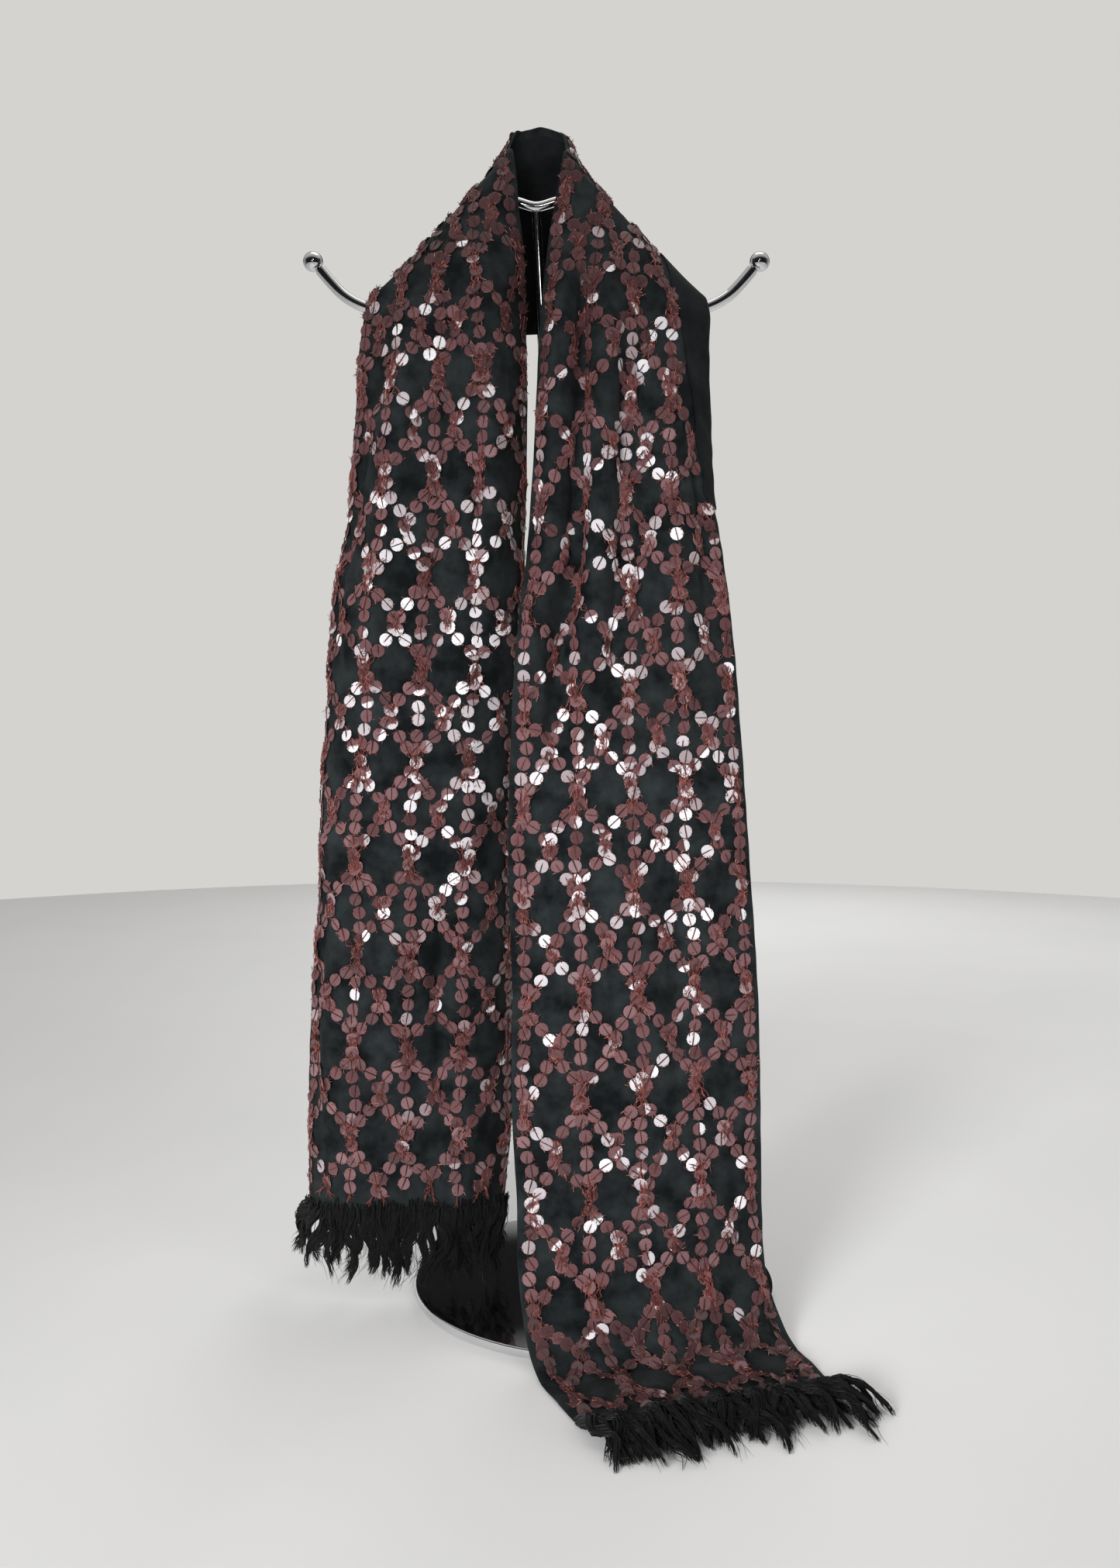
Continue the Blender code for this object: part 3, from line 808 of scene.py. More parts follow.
def chrome_material():
    """Polished chrome with faint wear."""
    material, shader = node_material("chrome_polish", (0.78, 0.78, 0.79), 0.06, 1.0)
    tint = ramp(material, noise(material, 24, 3), ((0.3, (0.72, 0.72, 0.73)), (0.7, (0.82, 0.82, 0.83))))
    wear = mapped(material.node_tree, noise(material, 75, 5, 0.7), wanted=(0.03, 0.12))
    fill(material, shader, {"Base Color": tint, "Roughness": wear}, {})
    bump(material, shader, noise(material, 900, 2), 0.02, 0.0002)
    return material


def ring_points(profile, sides):
    """Rings of points round +Z, one for each radius and height."""
    angle = math.tau * np.arange(sides) / sides
    return np.concatenate([
        np.stack((radius * np.cos(angle), radius * np.sin(angle), np.full(sides, height)), axis=-1)
        for radius, height in profile
    ])


def turned(profile, sides):
    """A closed shape turned about +Z from a profile of radius and height."""
    index = np.arange(len(profile) * sides).reshape(len(profile), sides)
    caps = [index[0, ::-1].tolist(), index[-1].tolist()]
    return ring_points(profile, sides), ring_faces(index).tolist() + caps


def build_stand(chrome):
    """The base plate, post, arms and ball ends, with rounder forms than their solids."""

    def part(name, vertices, faces, node):
        piece = new_piece(name, vertices, faces, chrome, "stand_chrome", replaced=(node,))
        outward(piece)
        return piece

    corner = [
        (BASE_RADIUS - BASE_EDGE + BASE_EDGE * math.sin(a), BASE_EDGE - BASE_EDGE * math.cos(a))
        for a in np.linspace(0, math.pi / 2, EDGE_RINGS)
    ]
    profile = corner + [(r, BASE_HEIGHT - h) for r, h in reversed(corner)]
    part("base_plate", *turned(profile, BASE_SIDES), "stand_base")
    top = Vector(POST_TOP)
    lean = math.atan2(-POST_TOP[0], POST_TOP[2] - BASE_HEIGHT)
    foot = Vector((0, 0, BASE_HEIGHT + POST_SEAT + ROD_RADIUS * math.sin(lean)))
    line = [[foot.lerp(top, t) for t in np.linspace(0, 1, POST_RINGS)]]
    part("post_rod", *tubes(line, [[ROD_RADIUS] * POST_RINGS], ROD_SIDES), "stand_post")
    knots = np.array([(-x, z) for x, z in reversed(ARM_HALF[1:])] + list(ARM_HALF), float)
    lengths = np.concatenate(([0], np.cumsum(np.linalg.norm(np.diff(knots, axis=0), axis=1))))
    places = np.linspace(0, lengths[-1], ARM_RINGS)
    line = [[(POST_TOP[0] + x, 0, z) for x, z in through_rows(lengths, knots, places)]]
    rod = tubes(line, [[ROD_RADIUS] * ARM_RINGS], ROD_SIDES, (0.0, 1.0, 0.0))
    arms = part("cross_arm", *rod, "stand_arms")
    for name, sign in (("left", -1), ("right", 1)):
        profile = [
            (BALL_RADIUS * math.sin(a), BALL_CENTRE[1] - BALL_RADIUS * math.cos(a))
            for a in np.linspace(BALL_POLE, math.pi - BALL_POLE, BALL_RINGS)
        ]
        vertices, faces = turned(profile, BALL_SIDES)
        vertices[:, 0] += POST_TOP[0] + sign * BALL_CENTRE[0]
        part("ball_" + name, vertices, faces, "stand_ball_" + name)
    return arms


def hem_rounding(sheet, low, high, hem_low):
    """Lower and upper distances for each column, with the edges rounded over a turned hem."""
    edge = np.minimum(sheet.across, 1 - sheet.across) * WIDTH
    round_off = np.sqrt(np.clip(1 - (1 - np.clip(edge / HEM_BAND, 0, 1)) ** 2, HEM_LEAST, 1))
    in_hem = ease((HEM_BAND + HEM_FADE - edge) / HEM_FADE)
    base = low + (hem_low - low) * in_hem
    middle = (base + high) / 2
    return middle + (base - middle) * round_off, middle + (high - middle) * round_off


def build_cloth(name, sheet, silk, lining):
    """The sequined face with its turned hems, and the lining behind it."""
    low, high = hem_rounding(sheet, FACE_LOW, FACE_HIGH, HEM_LOW)
    face = new_piece("silk_" + name, *wall(sheet.points, sheet.out, low, high), silk, "sequined_silk",
                     replaced=("face_" + name,))
    inner = slice(LINING_INSET, -LINING_INSET)
    back = new_piece("lining_silk_" + name,
                     *wall(sheet.points[:, inner], sheet.out[:, inner], LINING_LOW, LINING_HIGH), lining,
                     "lining_silk", replaced=("lining_" + name,))
    for piece in (face, back):
        outward(piece)
    return face, back


def build_margin(sheet, lining):
    """The right shoulder's margin, turned over the sequins with the lining out."""
    edge = np.array(MARGIN_EDGE, float)
    rows = int(np.searchsorted(sheet.lengths, edge[-1, 0]))
    points, out = np.zeros((2, rows, MARGIN_COLUMNS, 3))
    for r in range(rows):
        start = np.interp(sheet.lengths[r], edge[:, 0], edge[:, 1])
        start += 0.006 * math.sin(sheet.lengths[r] / 9) + 0.004 * math.sin(sheet.lengths[r] / 4.3)
        places = start + (1 - start) * np.linspace(0, 1, MARGIN_COLUMNS)
        points[r] = between_points(places, sheet.across, sheet.points[r])
        out[r] = between_points(places, sheet.across, sheet.out[r])
        over = sheet.points[r, -1] - sheet.points[r, -4]
        points[r, -1] += MARGIN_PROUD * over / np.linalg.norm(over)
    share = np.linspace(0, 1, MARGIN_COLUMNS)
    low = MARGIN_LOW - (MARGIN_LOW - 1.0) * ease((share - 0.93) / 0.07)
    high = MARGIN_HIGH - (MARGIN_HIGH - 2.0) * ease((share - 0.95) / 0.05)
    ripple = MARGIN_RIPPLE * np.sin(np.arange(rows) * 0.55)[:, None] * (1 - share)[None, :] ** 2
    points += out * ripple[..., None]
    piece = new_piece("turned_margin", *wall(points, out, low, high), lining, "lining_silk",
                      replaced=("turned_margin_right",))
    outward(piece)
    return piece


def lattice_lines(run):
    """Distances across and along for each line of the lattice, and whether it is an upright one."""
    low, high = run.min(), run.max()
    lines = []
    for k in range(LINES):
        along = np.arange(low, high, LINE_SAMPLE)
        lines.append((np.full(len(along), LINE_FIRST + LINE_PITCH * k), along, True))
    first = math.floor(low / PERIOD) - 1
    last = math.ceil(high / PERIOD) + 1
    share = np.linspace(0, 1, round(math.hypot(PERIOD, LINE_PITCH) / LINE_SAMPLE) + 1)
    bent = share - ZIGZAG_BEND * np.sin(2 * math.tau * share)
    for period in range(first, last):
        along = (period + share) * PERIOD
        for k in range(LINES - 1):
            near = LINE_FIRST + LINE_PITCH * k
            lines.append((near + LINE_PITCH * bent, along, False))
            lines.append((near + LINE_PITCH * (1 - bent), along, False))
    return lines


def sewn_lines(sheet, run, random, hidden=None):
    """Each lattice line as places on the cloth, where it lies on this stretch and shows."""
    sewn = []
    for over, along, upright in lattice_lines(run - LEFT_PHASE):
        for size, length in LINE_WAVES:
            over = over + size * np.sin(along / length + random.uniform(0, LINE_PHASE))
        rows, columns, inside = sheet.follow(over, along + LEFT_PHASE, run)
        if hidden is not None:
            inside &= ~hidden(np.interp(rows, np.arange(len(sheet.lengths)), sheet.lengths), over / WIDTH)
        cuts = np.flatnonzero(np.diff(inside.astype(int))) + 1
        for piece in np.split(np.arange(len(over)), cuts):
            if len(piece) < 3 or not inside[piece[0]]:
                continue
            points = sheet.at(rows[piece], columns[piece], sheet.points)
            out = unit(sheet.at(rows[piece], columns[piece], sheet.out))
            sewn.append((points, out, over[piece], along[piece], upright))
    return sewn


def sequin_template():
    """Points and faces of one sequin: its front's hole, flat and rim, and the back of its hole."""
    profile = ((SEQUIN_HOLE, SEQUIN_RISE), (SEQUIN_FLAT, SEQUIN_RISE), (SEQUIN_RADIUS, SEQUIN_RIM),
               (SEQUIN_HOLE, SEQUIN_RISE - SEQUIN_THICK))
    index = np.arange(len(profile) * SEQUIN_SIDES).reshape(len(profile), SEQUIN_SIDES)
    return ring_points(profile, SEQUIN_SIDES), ring_faces(np.vstack((index, index[:1])))


def place_discs(centres, normals, ways, sizes):
    """Copies of the sequin at each centre, facing along its normal."""
    template, quads = sequin_template()
    side = unit(np.cross(normals, ways))
    ahead = np.cross(side, normals)
    basis = np.stack((side, ahead, normals), axis=1)
    vertices = centres[:, None] + np.einsum("vk,nkj->nvj", template, basis) * sizes[:, None, None]
    faces = quads[None] + (np.arange(len(centres)) * len(template))[:, None, None]
    return vertices.reshape(-1, 3), faces.reshape(-1, 4).tolist()


def crossing_share(over, along):
    """How near a place is to a crossing of the lattice's lines, from 0 to 1."""
    column = (over - LINE_FIRST) / LINE_PITCH
    period = along / PERIOD
    on_line = np.hypot((column - np.round(column)) * LINE_PITCH,
                       (period - np.round(period)) * PERIOD * ON_LINE_SHORT)
    between = np.hypot((column - np.floor(column) - 0.5) * LINE_PITCH,
                       (period - np.floor(period) - 0.5) * PERIOD * BETWEEN_SHORT)
    return np.maximum(1 - np.clip(on_line / ON_LINE_REACH, 0, 1),
                      BETWEEN_SHARE * (1 - np.clip(between / BETWEEN_REACH, 0, 1)))


def lowness(points, change):
    """How far each point is down on the ground, from 0 to 1."""
    start, drop = change
    return ease((start - points[:, 2]) / drop)


def painted_highlight_chance(centres, near):
    """How likely each sequin is to get a painted highlight."""
    chance = np.full(len(centres), PAINTED_HIGHLIGHT_ANYWHERE)
    for x, z, half_width, half_height, share in PAINTED_HIGHLIGHT_PATCHES:
        away = ((centres[:, 0] - x) / half_width) ** 2 + ((centres[:, 2] - z) / half_height) ** 2
        chance += share * np.exp(-away)
    first, second = (np.sin(centres @ way + phase) for way, phase in PAINTED_HIGHLIGHT_WAVES)
    groups = first * second
    chance *= 1 - PAINTED_HIGHLIGHT_LOST_LOW * lowness(centres, GROUND_TONE)
    return chance * (1 + PAINTED_HIGHLIGHT_GROUPED * groups) * (1 - PAINTED_HIGHLIGHT_LOST_NEAR * near)


def sequin_tones(discs, centres, near, random):
    """A tone for each point of the sequins: dull with painted shade, or a painted highlight over all or the
    lower side.
    """
    count = len(centres)
    # Painted shade: the dull sequins are painted darker towards the top, where less light falls, and on the
    # ground
    painted_shade = PAINTED_SHADE_TOP * ease((centres[:, 2] - PAINTED_SHADE_TOP_FROM) / PAINTED_SHADE_TOP_OVER)
    painted_shade = painted_shade + PAINTED_SHADE_GROUND * lowness(centres, GROUND_TONE)
    varied = random.normal(0, TONE_VARIES, count) * (1 + TONE_VARIES_NEAR * near)
    tone = np.clip(TONE - painted_shade - DIM_NEAR * near + varied, 0, TONE_MOST)
    # Painted highlights: some sequins are painted pale as if they catch the light
    bright = random.random(count) < painted_highlight_chance(centres, near)
    shine = random.uniform(*PAINTED_HIGHLIGHT_TONES, count)
    dull_half = random.random(count) < HALF_PAINTED_HIGHLIGHT
    # A half painted highlight covers only the sequin's lower side
    turn = random.normal(-0.6, 0.5, count)
    down = np.stack((np.cos(turn), np.zeros(count), np.sin(turn) * 1.6), axis=-1)
    offset = discs.reshape(count, -1, 3) - centres[:, None]
    lower = np.einsum("nvj,nj->nv", offset, down) > 0
    lit = bright[:, None] & (lower | ~dull_half[:, None])
    return np.where(lit, shine[:, None], tone[:, None]).ravel()


def kept_out(points, sheet):
    """The points, with those that would pass through the cloth moved out into its face."""
    cloth, out = sheet.points.reshape(-1, 3), sheet.out.reshape(-1, 3)
    tree = KDTree(len(cloth))
    for k, place in enumerate(cloth):
        tree.insert(place, k)
    tree.balance()
    nearest = np.array([tree.find(point)[1] for point in points])
    height = np.sum((points - cloth[nearest]) * out[nearest], axis=1)
    return points + out[nearest] * np.maximum(SEWING_LOW - height, 0)[:, None]


def sequin_places(sewn, random):
    """Where the sequins sit: centres, the cloth's way out, the line's way, and how near a crossing."""
    centres, normals, ways, near = [], [], [], []
    for points, out, over, along, upright in sewn:
        steps = np.linalg.norm(np.diff(points, axis=0), axis=1)
        distance = np.concatenate(([0], np.cumsum(steps)))
        closer = steps * (1 + CLOSER_ON_GROUND * lowness(points[1:], GROUND_CLOSER))
        packed = np.concatenate(([0], np.cumsum(closer)))
        count = max(1, round(packed[-1] / SEQUIN_STEP))
        at = np.interp(packed[-1] * (np.arange(count) + 0.5) / count, packed, distance)
        at = np.clip(at + random.normal(0, SEQUIN_SHIFT, count), LINE_END, distance[-1] - LINE_END)
        crossing = crossing_share(np.interp(at, distance, over), np.interp(at, distance, along))
        if not upright:
            kept = random.random(count) > KNOT_BARE * ease((crossing - 0.5) / 0.25)
            at, crossing = at[kept], crossing[kept]
        way = unit(np.gradient(points, axis=0))
        for values, found in ((points, centres), (out, normals), (way, ways)):
            found.append(between_points(at, distance, values))
        near.append(crossing)
    centres, normals, ways, near = (np.concatenate(found) for found in (centres, normals, ways, near))
    return centres, normals, unit(ways), near


def tilted(centres, normals, ways, near, random):
    """The sequins' centres lifted off the cloth, and their ways out tilted."""
    count = len(centres)
    side = np.cross(normals, ways)
    lying = lowness(centres, GROUND_LYING)
    tilt = random.normal(0, TILT, (count, 2)) * (1 + TILT_NEAR * near + TILT_LYING * lying)[:, None]
    lift_lying = LIFT_LYING * lying * random.random(count)
    tilt[:, 0] += TILT_DOWN
    most = (TILT_MOST + TILT_MOST_LYING * lying)[:, None]
    tilt = np.clip(tilt, -most, most)
    normals = unit(normals + ways * tilt[:, :1] + side * tilt[:, 1:])
    lift = FACE_HIGH + SEQUIN_LIFT + np.abs(random.normal(0, LIFT_VARIES, count))
    lift = lift + LIFT_NEAR * near * random.random(count)
    shift = side * random.normal(0, SIDE_SHIFT, (count, 1))
    return centres + normals * (lift + lift_lying)[:, None] + shift, normals


def build_sewing(name, sheet, run, random, sequin, thread, hidden=None):
    """The sequins along the lattice, and the thread that holds them."""
    sewn = sewn_lines(sheet, run, random, hidden)
    centres, normals, ways, near = sequin_places(sewn, random)
    centres, normals = tilted(centres, normals, ways, near, random)
    sizes = random.normal(1, SEQUIN_VARIES, len(centres))
    vertices, faces = place_discs(centres, normals, ways, sizes)
    vertices = kept_out(vertices, sheet)
    vertices[:, 2] = np.maximum(vertices[:, 2], FLOOR_CLEAR)
    discs = new_piece("sequins_" + name, vertices, faces, sequin, "sequined_silk", smooth=False)
    shade(discs, "tone", sequin_tones(vertices, centres, near, random))
    fibres = [thread_ropes(sewn, random)]
    fibres.append(thread_stitches(centres, normals, ways, random))
    fibres.append(thread_frizz(centres, normals, ways, near, random))
    points, faces = joined([part[:2] for part in fibres])
    points = kept_out(points, sheet)
    points[:, 2] = np.maximum(points[:, 2], FLOOR_CLEAR)
    sewing = new_piece("thread_" + name, points, faces, thread, "sequined_silk")
    shade(sewing, "tone", np.concatenate([part[2] for part in fibres]))
    return discs, sewing, sewn


def thread_ropes(sewn, random):
    """Uneven ropes of thread along each line where the lines meet."""
    parts, tones = [], []
    for points, out, over, along, _ in sewn:
        near = crossing_share(over, along)
        side = unit(np.cross(out, np.gradient(points, axis=0)))
        meeting = near > ROPE_FROM
        cuts = np.flatnonzero(np.diff(meeting.astype(int))) + 1
        for piece in np.split(np.arange(len(points)), cuts):
            if len(piece) < 3 or not meeting[piece[0]]:
                continue
            count = len(piece)
            place = np.arange(count)
            for turn in math.tau * np.arange(THREAD_ROPES) / THREAD_ROPES:
                sway = ROPE_SWAY * np.cos(turn) + 0.9 * np.sin(place * 1.9 + turn)
                sway += random.normal(0, 0.5, count)
                rise = FACE_HIGH + ROPE_RISE + ROPE_RISE_NEAR * near[piece]
                rise += 0.4 * np.cos(place * 1.25 + turn)
                rise += np.abs(random.normal(0, 0.3, count))
                line = points[piece] + side[piece] * sway[:, None] + out[piece] * rise[:, None]
                radii = THREAD_RADIUS * random.uniform(0.7, 1.25, count)
                parts.append(tubes([line], [radii], 3, out[piece][None]))
                tones.append(np.repeat(random.uniform(*ROPE_TONES, count), 3))
    return (*joined(parts), np.concatenate(tones))


def thread_stitches(centres, normals, ways, random):
    """One dark stitch over each sequin, rim to rim across its hole."""
    count = len(centres)
    turn = random.normal(0, 0.3, count)[:, None]
    side = np.cross(normals, ways)
    flat = np.cos(turn) * ways + np.sin(turn) * side
    reach = SEQUIN_RADIUS * np.array((-1.1, -0.93, 0.93, 1.1))
    rise = np.array((-0.4, 0.55, 0.55, -0.4))
    lines = centres[:, None] + flat[:, None] * reach[:, None] + normals[:, None] * rise[:, None]
    radii = STITCH_RADIUS * random.uniform(0.8, 1.2, (count, 1)) * np.array((0.8, 1, 1, 0.8))
    tones = np.repeat(random.uniform(*STITCH_TONES, count), 4 * 3)
    return (*tubes(lines, radii, 3, normals[:, None]), tones)


def thread_frizz(centres, normals, ways, near, random):
    """Short stiff ends of thread round every sequin, most of them where the lines meet."""
    each = FRIZZ_LEAST + np.round(FRIZZ_NEAR * near).astype(int)
    owner = np.repeat(np.arange(len(centres)), each)
    count = len(owner)
    side = np.cross(normals, ways)[owner]
    ahead, normal = ways[owner], normals[owner]
    angle = random.uniform(0, math.tau, count)[:, None]
    reach = SEQUIN_RADIUS * random.uniform(0.6, 1.06, count)[:, None]
    start = centres[owner] + (np.cos(angle) * side + np.sin(angle) * ahead) * reach
    start = start + normal * random.uniform(0.1, 0.8, count)[:, None]
    turn = angle + (random.choice((-1.0, 1.0), count) * random.uniform(0.3, 1.5, count))[:, None]
    rise = np.maximum(random.normal(0.05, 0.16, count), -0.12)[:, None]
    way = np.cos(turn) * side * 0.8 + np.sin(turn) * ahead + normal * rise
    length = random.uniform(*FRIZZ_LENGTHS, count)[:, None]
    lines = np.stack((start, start + way * length), axis=1)
    thick = FRIZZ_RADIUS * random.uniform(0.7, 1.4, count)[:, None]
    tones = np.repeat(random.uniform(*FRIZZ_TONES, count), 2 * 3)
    return (*tubes(lines, thick * np.array((1, 0.45)), 3, normal[:, None]), tones)


def hem_tails(sewn, hem_at, random):
    """Thread ends that hang past the hem from the lines that reach it."""
    lines, radii = [], []
    for points, out, _, along, _ in sewn:
        end = 0 if abs(along[0] - hem_at) < abs(along[-1] - hem_at) else -1
        if abs(along[end] - hem_at) > LINE_SAMPLE * 2:
            continue
        ahead = points[end] - points[1 if end == 0 else -2]
        ahead /= np.linalg.norm(ahead)
        for _ in range(TAILS):
            length = random.uniform(*TAIL_LENGTHS)
            side = np.cross(out[end], ahead) * random.normal(0, 2)
            start = points[end] + out[end] * (FACE_HIGH + 1.2) - ahead * 2
            lines.append([start + ahead * length * t + side * t * t + out[end] * 1.6 * math.sin(3 * t)
                          for t in (0, 0.35, 0.7, 1)])
            radii.append(TAIL_RADII)
    return np.array(lines), np.array(radii)


def hanging_lock(k, share):
    """The left fringe: hangs, hooks outwards near the outer edge, and ends unevenly."""
    curled = ease(((k + 0.5) / FRINGE_LOCKS - 0.72) / 0.28)
    length = 47 + 7 * np.sin(2.3 * k) + 4 * np.sin(0.39 * k + 1)
    sway = 3.5 * np.sin(0.22 * k + 2 * share) * share
    depth = 4 * np.sin(2.1 * k) * share * (1.2 - share) + 3 * share * np.sin(0.39 * k)
    fall = (length - 6 * curled) * share - 4 * curled * np.sin(math.pi * share)
    fall = fall + 9 * curled * (1 - share) ** 2
    return 31 * curled * ease(share / 0.8) + sway, fall, depth


def lying_lock(k, share):
    """The right fringe: lies on the ground in a puffed uneven heap."""
    spread_out = ease(((k + 0.5) / FRINGE_LOCKS - 0.7) / 0.3)
    length = 53 + 8 * np.sin(2.3 * k + 1) + 6 * np.sin(0.39 * k)
    sway = 3.5 * np.sin(0.22 * k + 2 * share) * share
    rise = (10 + 4 * np.sin(2.1 * k)) * np.sin(math.pi * share) * (1 - 0.4 * share)
    return 20 * spread_out * share + sway, length * share, rise


def build_fringe(name, sheet, lock, overlap, fluff, random, yarn, node):
    """Matted yarn from the hem: a dense body of curled strands, drawn together into uneven tips."""
    ends = np.linspace(0, 1, FRINGE_LOCKS + 1)
    end = sheet.lengths[-1]
    last = surface(sheet.table, sheet.folds, np.array((end - 2, end - 1, end)), ends, sheet.side)
    edge = last[2]
    fall_way = unit(edge - last[1])
    out_way = out_of(last, sheet.side)[2]
    pitch = np.linalg.norm(edge[1] - edge[0])
    count = CLUMPS * STRANDS
    share = np.linspace(0, 1, STRAND_RINGS)[None, :]

    centre = (np.arange(CLUMPS) + 0.5) * FRINGE_LOCKS / CLUMPS + random.normal(0, 0.4, CLUMPS)
    centre = np.clip(centre, 0.4, FRINGE_LOCKS - 0.4)
    clump = np.repeat(np.arange(CLUMPS), STRANDS)
    wisp = (random.random(count) < WISP_SHARE)[:, None]
    size, wave, waves, lean, rise = (
        random.uniform(low, high, CLUMPS)[clump][:, None]
        for low, high in CLUMP_RANGES
    )
    layer = ((np.arange(CLUMPS) % 3) - 1)[clump][:, None] * CLUMP_LAYER
    clump_turn = random.uniform(0, math.tau, (2, CLUMPS))[:, clump][..., None]
    sideways, deep = random.uniform(-1, 1, (2, count, 1))
    gathered = ease(share / 0.4)
    width = ROOT_SPREAD * (1 - gathered) + CLUMP_WIDTH * gathered * (1 - 0.72 * share)
    place = np.clip(centre[clump] + sideways[:, 0] * ROOT_SPREAD / pitch, 0.05, FRINGE_LOCKS - 0.05)

    grid = np.arange(FRINGE_LOCKS + 1)
    root, down, up = (between_points(place, grid, values) for values in (edge, fall_way, out_way))
    along = np.cross(down, up)
    along *= np.sign(np.sum(along * (edge[-1] - edge[0]), axis=1, keepdims=True))
    shift, fall, lift = lock(np.floor(centre)[clump][:, None], share)

    size = size * (1 - 0.36 * random.random((count, 1)) ** 1.8) * np.where(wisp, 1.1, 1.0)
    fall = fall * size + TAPE_WIDTH * share
    fall = fall - overlap * rise * np.sqrt(random.random((count, 1))) * (1 - share)
    shift = shift + sideways * (width - ROOT_SPREAD) * np.where(wisp, 0.4, 1.0)
    shift = shift + wave * gathered * np.sin(clump_turn[0] + waves * share) + lean * share
    turn = random.uniform(0, math.tau, (count, 1))
    speed = random.uniform(5, 13, (count, 1))
    curl = random.uniform(0.3, 1.4, (count, 1)) * (0.5 + share) * np.where(wisp, 2.2, 1.0)
    stray = np.where(wisp, random.normal(0, WISP_STRAY, (count, 1)), 0) * share ** 1.5
    shift = shift + curl * np.sin(turn + speed * share) + stray
    lift = lift + FACE_HIGH + layer * np.sin(math.pi * np.clip(0.1 + share, 0, 1)) + deep * 0.7 * width
    lift = lift + fluff * (0.5 * wave * gathered * np.cos(clump_turn[1] + waves * share))
    lift = lift + curl * np.cos(turn + speed * share)
    lines = (
        root[:, None]
        + along[:, None] * shift[..., None]
        + down[:, None] * fall[..., None]
        + up[:, None] * lift[..., None]
    )
    wisp_radii, strand_radii = (random.uniform(*radii, (count, 1)) for radii in (WISP_RADII, STRAND_RADII))
    thick = np.where(wisp, wisp_radii, strand_radii)
    radii = thick * np.sqrt(np.clip(1.03 - share ** 3, 0.02, 1))
    on_base = np.hypot(lines[..., 0], lines[..., 1]) < BASE_RADIUS + 3
    lines[..., 2] = np.maximum(lines[..., 2], radii + np.where(on_base, BASE_HEIGHT + 0.2, 0.1))
    vertices, faces = tubes(lines, radii, 3)
    return new_piece("fringe_yarn_" + name, vertices, faces, yarn, "fringe_yarn", replaced=(node,))


def build_studio():
    """Camera, pale floor and soft lights."""
    bpy.context.scene.view_settings.view_transform = "Standard"
    data = bpy.data.cameras.new("camera")
    data.sensor_width = CAMERA_SENSOR
    data.lens = CAMERA_LENS
    camera = bpy.data.objects.new("camera", data)
    camera.location = CAMERA_PLACE
    camera.rotation_euler = (math.radians(90 - CAMERA_DOWN), 0, 0)
    bpy.context.collection.objects.link(camera)
    bpy.context.scene.camera = camera

    material, shader = node_material("floor_pale", (0.93, 0.93, 0.93), 0.6)
    tint = ramp(material, noise(material, 3, 2), ((0.3, (0.92, 0.92, 0.93)), (0.7, (0.95, 0.95, 0.95))))
    fill(material, shader, {"Base Color": tint}, {})
    mesh = bpy.data.meshes.new("floor")
    ring = [(FLOOR_RADIUS * math.cos(a), FLOOR_RADIUS * math.sin(a), -FLOOR_DROP)
            for a in (math.tau * k / FLOOR_SIDES for k in range(FLOOR_SIDES))]
    mesh.from_pydata(ring, [], [list(range(FLOOR_SIDES))])
    mesh.materials.append(material)
    floor = bpy.data.objects.new("floor", mesh)
    bpy.context.collection.objects.link(floor)

    for name, place, aim, size, power, beam, mirrored, lights_cloth in LIGHTS:
        data = bpy.data.lights.new(name, "AREA")
        data.size = size
        data.energy = power
        data.spread = math.radians(beam)
        light = bpy.data.objects.new(name, data)
        light.location = place
        light.rotation_euler = (Vector(aim) - Vector(place)).to_track_quat("-Z", "Y").to_euler()
        light.visible_glossy = mirrored
        light.visible_diffuse = lights_cloth
        bpy.context.collection.objects.link(light)


def build_surround():
    """A pale surround, which metal mirrors dark in front, pale behind and overhead, and dark low behind."""
    world = bpy.data.worlds.new("surround")
    bpy.context.scene.world = world
    world.use_nodes = True
    tree = world.node_tree
    place = tree.nodes.new("ShaderNodeTexCoord")
    split = tree.nodes.new("ShaderNodeSeparateXYZ")
    tree.links.new(place.outputs["Generated"], split.inputs["Vector"])
    behind = mapped(tree, split.outputs["Y"], given=(-1, 1))
    overhead = mapped(tree, split.outputs["Z"], *MIRRORED_OVERHEAD)
    colour = ramp(world, combined(tree, "ADD", behind, overhead), MIRRORED)
    low, high, back = (mapped(tree, split.outputs[axis], given) for axis, given in DARK_PATCH)
    patch = combined(tree, "MULTIPLY", combined(tree, "MULTIPLY", low, high), back)
    dimmed = tree.nodes.new("ShaderNodeVectorMath")
    dimmed.operation = "SCALE"
    tree.links.new(colour, dimmed.inputs[0])
    tree.links.new(mapped(tree, patch, wanted=(1, DARK_PATCH_SHARE)), dimmed.inputs["Scale"])
    rays = tree.nodes.new("ShaderNodeLightPath")
    mix = tree.nodes.new("ShaderNodeMix")
    mix.data_type = "RGBA"
    tree.links.new(rays.outputs["Is Glossy Ray"], mix.inputs["Factor"])
    mix.inputs["A"].default_value = SURROUND
    tree.links.new(dimmed.outputs["Vector"], mix.inputs["B"])
    background = tree.nodes["Background"]
    tree.links.new(mix.outputs["Result"], background.inputs["Color"])
    strength = mapped(tree, rays.outputs["Is Diffuse Ray"], wanted=(1, SURROUND_STRENGTH))
    tree.links.new(strength, background.inputs["Strength"])


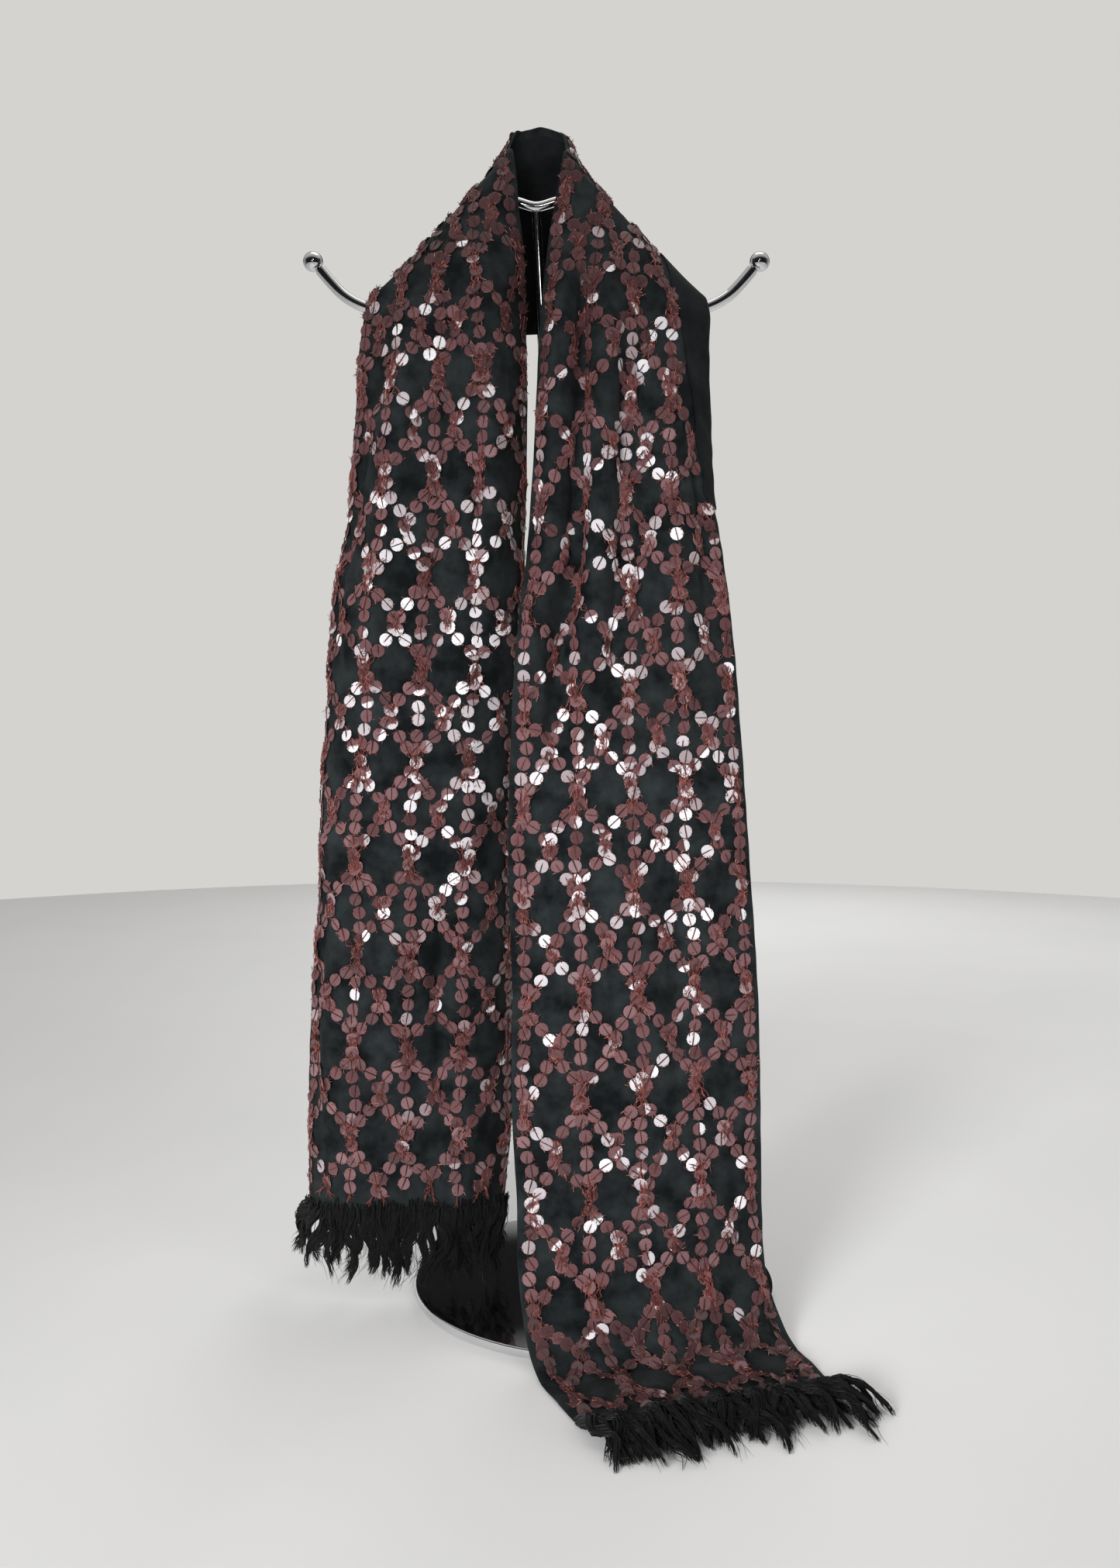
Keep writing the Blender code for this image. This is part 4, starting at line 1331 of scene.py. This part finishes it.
def lattice_runs(left, neck, right):
    """How far along the whole scarf each point lies, from the left hem, and where the right hem is.

    The lattice has a whole number of periods between its places on the two fronts. What each column
    is longer or shorter than that is spread over the top of the fronts and the neck.
    """
    run_left = left.measure(True)
    run_neck = run_left[0] + neck.measure(False)
    run_right = run_neck[-1] + right.measure(False)
    total = run_right[-1]
    periods = round((total.mean() - LEFT_PHASE - RIGHT_PHASE) / PERIOD)
    whole = periods * PERIOD + LEFT_PHASE + RIGHT_PHASE
    start = run_left[0] - SPREAD_LEFT
    end = run_neck[-1] + SPREAD_RIGHT
    runs = (run_left, run_neck, run_right)
    return [run + (whole - total) * ease((run - start) / (end - start)) for run in runs], whole


def build():
    """Everything, in order: studio, stand, cloth, sewing and fringes."""
    build_studio()
    build_surround()
    arms = build_stand(chrome_material())
    silk = silk_material("silk_black", (0.0038, 0.0052, 0.006), (0.0225, 0.028, 0.03))
    lining = silk_material("lining_black", (0.0035, 0.0044, 0.005), (0.0105, 0.0126, 0.014))
    sequin, thread, yarn = sequin_material(), thread_material(), yarn_material()

    left = Sheet(LEFT_FRONT, LEFT_FOLDS, LEFT_CREASES, -1)
    right = Sheet(RIGHT_FRONT, RIGHT_FOLDS, RIGHT_CREASES, 1)
    neck = Sheet((LEFT_FRONT[0],) + NECK + (RIGHT_FRONT[0],), (), NECK_CREASES, 1)
    for row, front in ((0, left), (-1, right)):
        neck.points[row] = front.points[0]
        neck.out[row] = front.out[0] = unit(neck.out[row] + front.out[0])
    (run_left, run_neck, run_right), whole = lattice_runs(left, neck, right)

    margin_edge = np.array(MARGIN_EDGE, float)

    def bare_end(length, across):
        return length > left.lengths[-1] - LEFT_BARE - 3 * np.sin(across * 17)

    def under_margin(length, across):
        return (length < margin_edge[-1, 0]) & (
            across > np.interp(length, margin_edge[:, 0], margin_edge[:, 1]) - MARGIN_TUCK / WIDTH
        )

    ends = {
        "left": (LEFT_BARE - LEFT_PHASE, hanging_lock, 15, 1.0),
        "right": (whole - LEFT_PHASE, lying_lock, 11, 1.9),
    }
    random = np.random.default_rng(SEED)
    margin = build_margin(right, lining)
    for name, sheet, run, hidden in (
        ("left", left, run_left, bare_end),
        ("neck", neck, run_neck, None),
        ("right", right, run_right, under_margin),
    ):
        face, back = build_cloth(name, sheet, silk, lining)
        discs, sewing, sewn = build_sewing(name, sheet, run, random, sequin, thread, hidden)
        with_pieces = [discs, sewing]
        if name != "neck":
            hem_at, lock, overlap, fluff = ends[name]
            tails = hem_tails(sewn, hem_at, random)
            points, faces = tubes(*tails, 3)
            points[:, 2] = np.maximum(points[:, 2], FLOOR_CLEAR)
            with_pieces.append(new_piece("thread_ends_" + name, points, faces, thread, "sequined_silk"))
            shade(with_pieces[-1], "tone", np.full(tails[0].size, TAIL_TONE))
            with_pieces.append(build_fringe(name, sheet, lock, overlap, fluff, random, yarn,
                                             "fringe_" + name))
        if name == "right":
            with_pieces.append(margin)


build()
